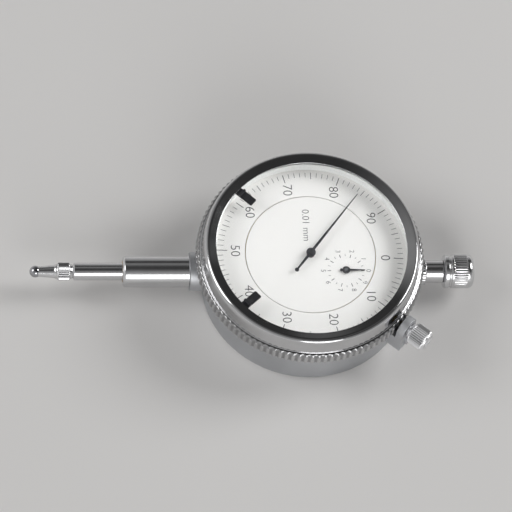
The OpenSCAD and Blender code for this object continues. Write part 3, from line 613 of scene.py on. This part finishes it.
def black_lacquer(shader, tint):
    """Thin semi-matt black lacquer: an orange-peel skin, and a greyer rubbed tone in places."""
    peel = shader.specks(0.18 * MM, 2.0)
    rubbed = shader.specks(1.6 * MM, 4.0).above(0.5, 0.25)
    shader.surface({
        "Base Color": shader.mix(0.5 * rubbed, shade(tint, 0.8), (0.075, 0.074, 0.073)),
        "Roughness": 0.34 + 0.12 * peel + 0.08 * rubbed,
    }, peel, 0.0015 * MM)


def printing_ink(shader, tint):
    """Matt printing ink, a little uneven where it is thin."""
    thin = shader.specks(0.12 * MM, 3.0)
    shader.surface({
        "Base Color": shader.mix(thin, shade(tint, 0.7), shade(tint, 1.8)),
        "Roughness": 0.58 + 0.16 * thin,
    })


def clear_crystal(shader, tint):
    """Clear moulded acrylic: hardly any haze, and hairline wiping marks that only the gloss shows."""
    wiped = shader.noise(shader.place((0.12 * MM, 9 * MM, 9 * MM), turn=(0, 0, 0.5)), 2.0).above(0.62, 0.1)
    shader.surface({
        "Base Color": tuple(0.5 + 0.5 * c for c in tint) + (1,),
        "Roughness": 0.004 + 0.02 * wiped,
        "Transmission Weight": 1.0,
        "IOR": 1.49,
    })


FINISHES = {
    "case_metal": cast_metal,
    "cover_steel": lambda s, tint: turned_metal(s, tint, 0.3, Z_AXIS, 0.14 * MM, 0.002 * MM, 0.14),
    "bezel_chrome": polished_plating,
    "polished_steel": lambda s, tint: turned_metal(s, tint, 0.15, SPINDLE),
    # Painted light: the thumbscrew's steel is the polished steel's colour made a fifth lighter, which brightens
    # the knob
    "lit_thumb_steel": lambda s, tint: turned_metal(s, shade(tint, 1.2), 0.3, CLAMP),
    "screw_steel": lambda s, tint: turned_metal(s, tint, 0.26, Z_AXIS, 0.08 * MM, 0.001 * MM),
    "bronze": lambda s, tint: turned_metal(s, tint, 0.28, SPINDLE, 0.08 * MM, 0.001 * MM),
    "plate_brass": brushed_brass,
    "wheel_brass": lambda s, tint: brushed_brass(s, tint, 0.2),
    "arbor_steel": lambda s, tint: turned_metal(s, tint, 0.18, Z_AXIS, 0.05 * MM),
    "spring_steel": tempered_steel,
    "ball_steel": lambda s, tint: turned_metal(s, tint, 0.06, SPINDLE, 0.05 * MM, 0.0002 * MM, 0.05),
    "jewel": ruby,
    "dial_white": enamel,
    "spacer_white": moulded_plastic,
    "hand_black": black_lacquer,
    "printing_ink": printing_ink,
    "crystal_clear": clear_crystal,
}
SHARED_TINT = {"lit_thumb_steel": "polished_steel", "printing_ink": "hand_black"}


def finish(name):
    """The material of a finish, made when it is first asked for, in the colour that the user has set."""
    made = bpy.data.materials.get("finish_" + name)
    if made is None:
        made = bpy.data.materials.new("finish_" + name)
        tint = tuple(getattr(bpy.context.scene.indicator_colours, SHARED_TINT.get(name, name)))
        FINISHES[name](Shader(made), tint)
    return made


# Operators: the stage, the pieces, then the frame's own nodes

class INDICATOR_OT_stage(bpy.types.Operator):
    """Pale floor, soft lamps, and a camera at the photo's angle"""

    bl_idname = "indicator.stage"
    bl_label = "Stage"

    def execute(self, context):
        scene = context.scene
        settings = scene.indicator_stage
        scene.view_settings.view_transform = "Standard"
        self.floor(scene, settings)
        self.sky(scene)
        aim = Vector((-13.75, 0, 16)) * MM
        lamps = (
            ("key_lamp", (1.0, 0.3, 0.82), settings.key_watts),
            ("front_lamp", (0.2, -1.1, 0.5), settings.front_watts),
            ("stem_lamp", (-0.95, 0.1, 0.75), settings.stem_watts),
        )
        for name, place, watts in lamps:
            light = bpy.data.lights.new(name, "AREA")
            light.shape = "DISK"
            light.size = settings.lamp_size
            light.energy = watts
            lamp = bpy.data.objects.new(name, light)
            lamp.location = place
            lamp.rotation_mode = "QUATERNION"
            lamp.rotation_quaternion = (aim - Vector(place)).to_track_quat("-Z", "Y")
            scene.collection.objects.link(lamp)
        self.camera(scene, settings, aim)
        return {"FINISHED"}

    def floor(self, scene, settings):
        """A wide disc just under the back cover: (r cos u, r sin u), matt on top and clear from below."""
        radius, level = np.array([0, 0.2, 0.6, 1.5, 4.0])[:, None], -0.05 * MM
        u = np.arange(64) * TAU / 64
        x, y = radius * np.cos(u), radius * np.sin(u)
        points = np.stack([x, y, np.full(x.shape, level)], -1).reshape(-1, 3)
        mesh = bpy.data.meshes.new("floor")
        mesh.from_pydata(points.tolist(), [], grid_faces(*x.shape)[:, ::-1].tolist())
        material = bpy.data.materials.new("floor")
        shader = Shader(material)
        matt = {"Color": (*settings.floor_colour, 1), "Roughness": 0.6}
        top = shader.node("BsdfDiffuse", None, matt)
        under = shader.node("NewGeometry", output="Backfacing")
        clear = shader.node("BsdfTransparent")
        both = shader.node("MixShader", None, {0: under, 1: top, 2: clear})
        shader.node("OutputMaterial", None, {0: both})
        mesh.materials.append(material)
        floor = bpy.data.objects.new("floor", mesh)
        scene.collection.objects.link(floor)

    def sky(self, scene):
        """A studio room: pale low walls, and a dark ceiling that is lower to the cap's side and the back."""
        world = bpy.data.worlds.new("studio")
        scene.world = world
        shader = Shader(world)
        direction = shader.node("TexCoord", output="Generated")
        right, back, height = shader.parts(direction)
        lean = height + 0.5 * right * right.above(0, 0.4) + 0.4 * back.above(0.45, 0.35)
        walls = shader.node("ValToRGB", None, {0: lean})
        # Sine of the height above the floor, and the grey there
        levels = ((0.0, 0.66), (0.3, 0.6), (0.62, 0.38), (0.86, 0.27), (1.0, 0.04))
        stops = walls.socket.node.color_ramp.elements
        for place, grey in levels[2:]:
            stops.new(place)
        for stop, (place, grey) in zip(stops, levels):
            stop.position = place
            stop.color = (grey, grey, grey, 1)
        shader.node("OutputWorld", None, {0: shader.node("Background", None, {0: walls})})

    def camera(self, scene, settings, aim):
        """The photo's angle: from the front, about 62 degrees up, with the plunger across the picture."""
        look = Vector((0.0997, 0.463, -0.888)).normalized()
        right = (Vector((1, 0, 0)) - look.x * look).normalized()
        up = right.cross(look)
        data = bpy.data.cameras.new("camera")
        spread = 2 * math.tan(settings.view_angle / 2)
        data.sensor_width = 36
        data.lens = data.sensor_width / spread
        distance = settings.view_width / spread
        data.clip_start = 0.05
        data.clip_end = 20
        camera = bpy.data.objects.new("camera", data)
        turn = Matrix((right, up, -look)).transposed().to_4x4()
        camera.matrix_world = Matrix.Translation(aim - look * distance) @ turn
        scene.collection.objects.link(camera)
        scene.camera = camera


class INDICATOR_OT_bezel(bpy.types.Operator):
    """Turned bezel with its knurled flange, cone, rolled lip and inner steps"""

    bl_idname = "indicator.bezel"
    bl_label = "Bezel"

    def execute(self, context):
        sizes = context.scene.indicator_sizes
        # Out from the knurl or the window, up from the lower face, and how far the corner is rounded, in mm
        flange = np.array([
            (-3.5, 0, 0.1), (-0.75, 0, 0.3), (0, 0.65, 0.4), (0, 3.3, 0.4), (-0.62, 3.95, 0.25),
            (-1.15, 4.0, 0.15),
        ]) * MM
        lip = np.array([
            (3.2, 7.6, 0.5), (2.85, 8.25, 0.3), (2.35, 8.6, 0.35), (1.85, 8.5, 0.3), (0, 8.0, 0.14),
            (0, 7.7, 0.08), (1.9, 7.7, 0.05), (1.9, 7.0, 0.05), (1.28, 7.0, 0.05), (1.28, 5.8, 0.05),
            (0.93, 5.8, 0.05), (0.93, 3.6, 0.05),
        ]) * MM
        skirt = np.array([
            (-3.5, 3.6, 0.05), (-3.5, 1.85, 0.05), (-3.0, 1.85, 0.05), (-3.0, 0.85, 0.05), (-3.5, 0.85, 0.05),
        ]) * MM
        from_knurl = (sizes.bezel_radius, low("bezel", "z"), 0)
        from_window = (sizes.window_radius, low("bezel", "z"), 0)
        corners = np.concatenate([flange + from_knurl, lip + from_window, skirt + from_knurl])
        profile = soften(corners[:, :2], corners[:, 2], steps=4)
        cut = knurl(sizes.knurl_ridges, sizes.knurl_depth, sizes.bezel_radius, start=0.967)
        shell = lathe(profile, PER_RIDGE * sizes.knurl_ridges, cut)
        make_piece("bezel_ring", [shell], "bezel", "bezel_chrome", ["bezel"])
        return {"FINISHED"}


class INDICATOR_OT_crystal(bpy.types.Operator):
    """Clear crystal with a slight crown, and the white spacer under it"""

    bl_idname = "indicator.crystal"
    bl_label = "Crystal and spacer"

    def execute(self, context):
        sizes = context.scene.indicator_sizes
        radius, (bottom, top) = high("crystal", "x"), span("crystal", "z")
        chamfer, corner, sides = 0.3 * MM, 0.1 * MM, 192
        r = np.linspace(radius - 0.25 * MM, 0, 12)
        crown = np.stack([r, top - sizes.crystal_rise * (r / radius) ** 2], -1)
        rim = [(0, bottom), (radius, bottom), (radius, top - chamfer), tuple(crown[0])]
        outline = np.concatenate([soften(rim, corner, ring=False), crown])
        shell = lathe(outline, sides, ring=False)
        lens = make_piece("crystal_lens", [shell], "bezel", "crystal_clear", ["crystal"])
        lens.visible_shadow = False
        inner, outer = sizes.window_radius + 0.1 * MM, high("dial_spacer", "x")
        floor, roof = span("dial_spacer", "z")
        wall = soften([(inner, floor), (outer, floor), (outer, roof), (inner + chamfer, roof)], corner)
        make_piece("spacer_ring", [lathe(wall, sides)], "bezel", "spacer_white", ["dial_spacer"])
        return {"FINISHED"}


class INDICATOR_OT_outer_scale(bpy.types.Operator):
    """Printed lines and figures of the outer scale, which turn with the bezel"""

    bl_idname = "indicator.outer_scale"
    bl_label = "Outer scale"

    def execute(self, context):
        scale = context.scene.indicator_scale
        bottom, top = DIAL_TOP - scale.ink / 3, DIAL_TOP + scale.ink
        value = np.arange(scale.divisions)
        turns = scale.turn - value * TAU / scale.divisions
        long_one, middle_one = value % 10 == 0, value % 5 == 0
        reach = np.where(long_one, scale.long_line, np.where(middle_one, scale.middle_line, scale.short_line))
        width = scale.line_width * np.where(long_one, 1.7, np.where(middle_one, 1.25, 1.0))
        lines = line_bars(turns, scale.scale_radius - reach, scale.scale_radius, width, bottom, top)
        radius, height = scale.figure_radius, scale.figure_height
        numbers = figures_round(value[long_one], turns[long_one], radius, height, bottom, top)
        make_print("scale_lines", [lines], "bezel")
        make_print("scale_figures", numbers, "bezel")
        return {"FINISHED"}


class INDICATOR_OT_counter_scale(bpy.types.Operator):
    """Printed counter scale and the reading, on the fixed middle of the dial"""

    bl_idname = "indicator.counter_scale"
    bl_label = "Counter scale"

    def execute(self, context):
        scale = context.scene.indicator_scale
        bottom, top = DIAL_TOP - scale.ink / 3, DIAL_TOP + scale.ink
        half = np.arange(20)
        turns = half * TAU / len(half)
        whole = half % 2 == 0
        reach = np.where(whole, 0.9, 0.55) * MM
        width = np.where(whole, 0.16, 0.1) * MM
        radius, height = scale.counter_radius, scale.counter_height
        lines = line_bars(turns, radius - reach, radius, width, bottom, top, COUNTER_AT)
        around = radius + 0.45 * MM + height / 2
        numbers = figures_round(range(10), turns[whole], around, height, bottom, top, COUNTER_AT)
        reading_at = (-0.7 * MM, 8.3 * MM)
        reading = figures(scale.reading, scale.reading_height, reading_at, bottom, top)
        make_print("counter_lines", [lines], "case")
        make_print("counter_figures", numbers, "case")
        make_print("reading_text", [reading], "case")
        return {"FINISHED"}


class INDICATOR_OT_pointers(bpy.types.Operator):
    """Main pointer with its hub, and the counter's small pointer"""

    bl_idname = "indicator.pointers"
    bl_label = "Pointers"

    def hand(self, node, reach, tail, base, tip, boss, weight):
        """Strip whose half width is the largest of a tapering blade, the boss and the tail's weight."""
        point = 2 * tip
        along = np.concatenate([
            -tail + weight * (1 - np.cos(np.linspace(0, math.pi, 28))),
            np.linspace(-tail + 2 * weight, -boss, 4)[1:-1],
            -boss * np.cos(np.linspace(0, math.pi, 48)),
            np.linspace(boss, reach - point, 10)[1:],
            reach - point + point * np.sin(np.linspace(0, math.pi / 2, 5))[1:],
        ])
        along = np.unique(np.round(along, 9))
        blade = np.interp(along, [-tail, 0, reach - point], [0.6 * base, base, tip])
        blade = np.where(along < weight - tail, 0, blade)
        blade = blade * np.sqrt(np.clip(1 - np.clip((along - reach) / point + 1, 0, 1) ** 2, 0, 1))
        disc = np.sqrt(np.clip(boss ** 2 - along ** 2, 0, None))
        round_tail = np.sqrt(np.clip(weight ** 2 - (along + tail - weight) ** 2, 0, None))
        least = np.full(len(along), 0.001 * MM)
        half = np.maximum.reduce([blade, disc, round_tail, least])
        return strip(along, half, *span(node, "z"), bevel=0.05 * MM)

    def execute(self, context):
        sizes = context.scene.indicator_sizes
        boss = sizes.hand_boss
        main = self.hand("main_pointer", sizes.hand_reach, sizes.hand_tail, sizes.hand_base, sizes.hand_tip,
                         boss, sizes.hand_weight)
        main = turned_about_dial(main, sizes.hand_turn)
        make_piece("pointer_blade", [main], "pointer", "hand_black", ["main_pointer"])
        foot, blade, top = low("pointer_hub", "z"), low("main_pointer", "z"), high("pointer_hub", "z")
        pipe, flange, cap = 0.85 * MM, boss - 0.1 * MM, boss - 0.3 * MM
        pipe_end, dimple = DIAL_TOP - 0.3 * MM, top - 0.1 * MM
        profile = soften([
            (0, pipe_end), (pipe, pipe_end), (pipe, foot), (flange, foot), (flange, blade), (cap, blade),
            (cap, top), (0.5 * MM, top), (0.4 * MM, dimple), (0, dimple),
        ], 0.16 * MM, ring=False)
        make_piece("pointer_cap", [lathe(profile, 64, ring=False)], "pointer", "hand_black", ["pointer_hub"])
        points, faces = self.hand("counter_pointer", reach=4.8 * MM, tail=1.6 * MM, base=0.34 * MM,
                                  tip=0.1 * MM, boss=1.0 * MM, weight=0.4 * MM)
        small = (points + (*COUNTER_AT, 0), faces)
        make_piece("counter_hand", [small], "counter", "hand_black", ["counter_pointer"])
        return {"FINISHED"}


class INDICATOR_OT_limit_markers(bpy.types.Operator):
    """Two limit markers: a curved base in the lip's groove, a tab over the crystal and a finger nib"""

    bl_idname = "indicator.limit_markers"
    bl_label = "Limit markers"

    def execute(self, context):
        sizes = context.scene.indicator_sizes
        window = sizes.window_radius
        tab_in, nib_at = window - 4.98 * MM, window - 1.1 * MM
        base_in, base_out = window + 0.2 * MM, window + 1.78 * MM
        half, sheet, corner = sizes.marker_width / 2, 0.4 * MM, 0.35 * MM
        for side, sign in (("left", 1), ("right", -1)):
            node = f"limit_marker_{side}"
            bottom = low(node, "z")
            top = bottom + sheet
            rounding = corner * (1 - np.cos(np.linspace(0.05, math.pi / 2, 6)))
            along = np.concatenate([tab_in + rounding, np.linspace(tab_in + 0.5 * MM, base_in, 8),
                                    np.linspace(base_in + 0.02 * MM, base_out, 4)])
            drawn = corner * (1 - np.sqrt(np.clip(1 - (1 - (along - tab_in) / corner) ** 2, 0, 1)))
            drawn = np.where(along < tab_in + corner, drawn, 0)
            width = np.where(along <= base_in, np.arcsin((half - drawn) / along), sizes.marker_base / 2)
            tab = strip(along, width, bottom, top, bevel=0.06 * MM, across=25, polar=True)
            y = np.linspace(-half, half, 12)
            points, faces = strip(y, 0.3 * MM, top - 0.1 * MM, high(node, "z"), bevel=0.14 * MM)
            nib = (np.stack([nib_at - points[:, 1], points[:, 0], points[:, 2]], -1), faces)
            shells = [turned_about_dial(shell, sign * sizes.marker_turn) for shell in (tab, nib)]
            make_piece(f"marker_tab_{side}", shells, f"marker_{side}", "hand_black", [node])
        return {"FINISHED"}


class INDICATOR_OT_stem(bpy.types.Operator):
    """Ground clamping stem"""

    bl_idname = "indicator.stem"
    bl_label = "Stem"

    def execute(self, context):
        edge = context.scene.indicator_sizes.edge
        outer = high("stem", "y")
        end, inside = span("stem", "x")
        boss = low("case_body", "x")
        bore = high("stem_lower_bush", "y")
        thread, chamfer = outer - 0.6 * MM, 0.5 * MM
        profile = soften([
            (bore, inside), (thread, inside), (thread, boss), (outer, boss), (outer, end + chamfer),
            (outer - chamfer, end), (bore, end),
        ], edge)
        make_piece("stem_tube", [on_spindle(lathe(profile, 128))], "case", "polished_steel", ["stem"])
        return {"FINISHED"}


class INDICATOR_OT_contact(bpy.types.Operator):
    """Contact point: taper, knurled grip and screwed shank, cupped for its ball"""

    bl_idname = "indicator.contact"
    bl_label = "Contact point"

    def execute(self, context):
        edge = context.scene.indicator_sizes.edge
        ball = high("contact_ball", "y")
        middle = sum(span("contact_ball", "x")) / 2
        face = low("plunger", "x")
        grip = high("plunger", "y")
        cup_edge = 1.06  # radians from the axis
        swing = np.linspace(0, cup_edge, 10)
        cup = np.stack([ball * np.sin(swing), middle + ball * np.cos(swing)], -1)
        # Radius and distance from the plunger's end face, in mm
        steps = np.array([
            (1.65, -4.8), (1.9, -4.3), (1.95, -4.02), (2.25, -3.72), (2.25, -1.0), (1.95, -0.75), (1.9, -0.6),
            (1.65, 0), (1.25, 0), (1.25, 4.9), (0, 5.0),
        ]) * MM
        steps = soften(np.concatenate([cup[-1:], steps + (0, face)]), edge * 0.6, ring=False)
        ridges = 28
        cut = knurl(ridges, 0.2 * MM, grip, start=0.88)
        shell = lathe(np.concatenate([cup[:-1], steps]), PER_RIDGE * ridges, cut, ring=False)
        make_piece("contact_tip", [on_spindle(shell)], "plunger", "polished_steel", ["contact_point"])
        return {"FINISHED"}


class INDICATOR_OT_cap(bpy.types.Operator):
    """Top bush with a milled collar, and the domed, knurled dust cap on it"""

    bl_idname = "indicator.cap"
    bl_label = "Top bush and cap"

    def execute(self, context):
        edge = context.scene.indicator_sizes.edge
        (start, stop), (foot, tip) = span("top_bush", "x"), span("dust_cap", "x")
        collar, seat = high("top_bush", "y"), high("case_body", "x")
        bore, spigot, neck, shoulder = 1.53 * MM, 2.6 * MM, 2.9 * MM, seat + 2 * MM
        bush = soften([
            (bore, start), (spigot, start), (spigot, seat), (collar, seat), (collar, shoulder),
            (neck, shoulder), (neck, foot - 0.1 * MM), (spigot, foot), (spigot, stop), (bore, stop),
        ], edge)
        ridges = 24
        cut = knurl(ridges, 0.12 * MM, collar, start=0.9)
        shell = on_spindle(lathe(bush, PER_RIDGE * ridges, cut))
        make_piece("bush_neck", [shell], "case", "polished_steel", ["top_bush"])
        radius = high("dust_cap", "y")
        roof = stop + 1.5 * MM
        # Out from the cap's radius and on from its foot, in mm
        rim = np.array([
            (-0.35, 0), (0, 0.4), (0, 1.35), (-0.3, 1.55), (-0.3, 1.85), (0, 2.05), (0, 2.5),
        ]) * MM + (radius, foot)
        skirt = soften([(0, roof), (spigot, roof), (spigot, foot), *rim], edge * 0.7, ring=False)
        round_end, ramp = 1.4 * MM, 0.3 * MM
        grip_from, grip_to = rim[-1, 1], tip - round_end - 0.2 * MM
        ends = np.array([ramp / 2, ramp])
        level = np.concatenate([grip_from + ends, grip_to - ends[::-1], [grip_to]])
        body = np.stack([np.full(len(level), radius), level], -1)
        swing = np.linspace(0, math.pi / 2, 9)
        dome = np.stack([radius - round_end * (1 - np.cos(swing)), tip - round_end * (1 - np.sin(swing))], -1)
        ridges, depth = 40, 0.16 * MM

        def grip(r, h, u):
            """Knurl on the cap's middle: depth times half of 1 - cos(ridges u), with a ramp at both ends."""
            share = np.clip((h - grip_from) / ramp, 0, 1) * np.clip((grip_to - h) / ramp, 0, 1)
            return depth * share * (r > 0.9 * radius) * (0.5 - 0.5 * np.cos(ridges * u))

        outline = np.concatenate([skirt, body, dome, [(0, tip)]])
        shell = on_spindle(lathe(outline, PER_RIDGE * ridges, grip, ring=False))
        make_piece("cap_dome", [shell], "case", "polished_steel", ["dust_cap"])
        return {"FINISHED"}


class INDICATOR_OT_thumbscrew(bpy.types.Operator):
    """Knurled thumbscrew of the bezel clamp"""

    bl_idname = "indicator.thumbscrew"
    bl_label = "Clamp thumbscrew"

    def execute(self, context):
        edge = context.scene.indicator_sizes.edge
        # Radius and distance from the dial's axis, in mm
        profile = soften(np.array([
            (0, 29.95), (1.0, 29.93), (1.25, 30.15), (1.25, 31.8), (1.9, 31.8), (1.9, 32.4), (2.45, 32.42),
            (2.8, 32.8), (2.8, 36.4), (2.45, 36.8), (2.2, 37.2), (1.3, 37.2), (1.1, 36.95), (0, 36.95),
        ]) * MM, edge, ring=False)
        knob, ridges = 2.8 * MM, 30
        cut = knurl(ridges, 0.25 * MM, knob, start=0.88)
        shell = on_clamp(lathe(profile, PER_RIDGE * ridges, cut, ring=False))
        # The knob's finish is a lighter copy of the polished steel, as painted light
        make_piece("thumb_knob", [shell], "clamp_screw", "polished_steel", ["clamp_screw"], "lit_thumb_steel")
        return {"FINISHED"}


class INDICATOR_OT_return_spring(bpy.types.Operator):
    """Return spring round the plunger's rod, built as a coil of one length, though the real spring shortens as the
    plunger goes in
    """

    bl_idname = "indicator.return_spring"
    bl_label = "Return spring"

    def execute(self, context):
        sizes = context.scene.indicator_sizes
        wire = sizes.spring_wire / 2
        start, stop = span("return_spring", "x")
        coil = high("return_spring", "y") - wire
        points, faces = helix(start + wire, stop - wire, coil, wire, sizes.spring_turns)
        shell = (points + (0, 0, SPINDLE_Z), faces)
        piece = make_piece("spring_coil", [shell], "case", "spring_steel", ["return_spring"])
        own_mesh(piece)
        return {"FINISHED"}


class INDICATOR_OT_finishes(bpy.types.Operator):
    """Finishes for the frame's own nodes, and small bevels on the case, cover and clamp block"""

    bl_idname = "indicator.finishes"
    bl_label = "Finishes"

    def execute(self, context):
        for name, node in frame["nodes"].items():
            node.data.materials.clear()
            node.data.materials.append(finish(NODE_SLOT[name]))
        for name in ("case_body", "back_cover", "clamp_block"):
            node = frame["nodes"][name]
            node.modifiers.new("join", "WELD").merge_threshold = 10 * SAME_PLACE
            bevel = node.modifiers.new("edges", "BEVEL")
            bevel.width = 0.12 * MM
            bevel.segments = 3
            bevel.limit_method = "ANGLE"
            bevel.angle_limit = math.radians(35)
            node.modifiers.new("flats", "WEIGHTED_NORMAL").keep_sharp = True
        return {"FINISHED"}


class INDICATOR_PT_build(bpy.types.Panel):
    """Buttons for each step, in the order in which they run"""

    bl_idname = "INDICATOR_PT_build"
    bl_label = "Dial indicator"
    bl_space_type = "VIEW_3D"
    bl_region_type = "UI"
    bl_category = "Indicator"

    def draw(self, context):
        for operator in OPERATORS:
            self.layout.operator(operator.bl_idname)


OPERATORS = (
    INDICATOR_OT_stage, INDICATOR_OT_bezel, INDICATOR_OT_crystal, INDICATOR_OT_outer_scale,
    INDICATOR_OT_counter_scale, INDICATOR_OT_pointers, INDICATOR_OT_limit_markers, INDICATOR_OT_stem,
    INDICATOR_OT_contact, INDICATOR_OT_cap, INDICATOR_OT_thumbscrew, INDICATOR_OT_return_spring,
    INDICATOR_OT_finishes,
)
GROUPS = {
    "indicator_sizes": IndicatorSizes,
    "indicator_scale": IndicatorScale,
    "indicator_colours": IndicatorColours,
    "indicator_stage": IndicatorStage,
}


def register():
    """Registers the settings, the operators and the panel."""
    for name, group in GROUPS.items():
        bpy.utils.register_class(group)
        setattr(bpy.types.Scene, name, PointerProperty(type=group))
    for cls in (*OPERATORS, INDICATOR_PT_build):
        bpy.utils.register_class(cls)


def unregister():
    """Takes them away again."""
    for cls in (INDICATOR_PT_build, *reversed(OPERATORS)):
        bpy.utils.unregister_class(cls)
    for name, group in GROUPS.items():
        delattr(bpy.types.Scene, name)
        bpy.utils.unregister_class(group)


def main():
    """Builds everything."""
    register()
    for operator in OPERATORS:
        step = operator.bl_idname.split(".")[1]
        if getattr(bpy.ops.indicator, step)() != {"FINISHED"}:
            raise RuntimeError(f"{operator.bl_label} did not finish")
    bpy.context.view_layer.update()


if __name__ == "__main__":
    main()
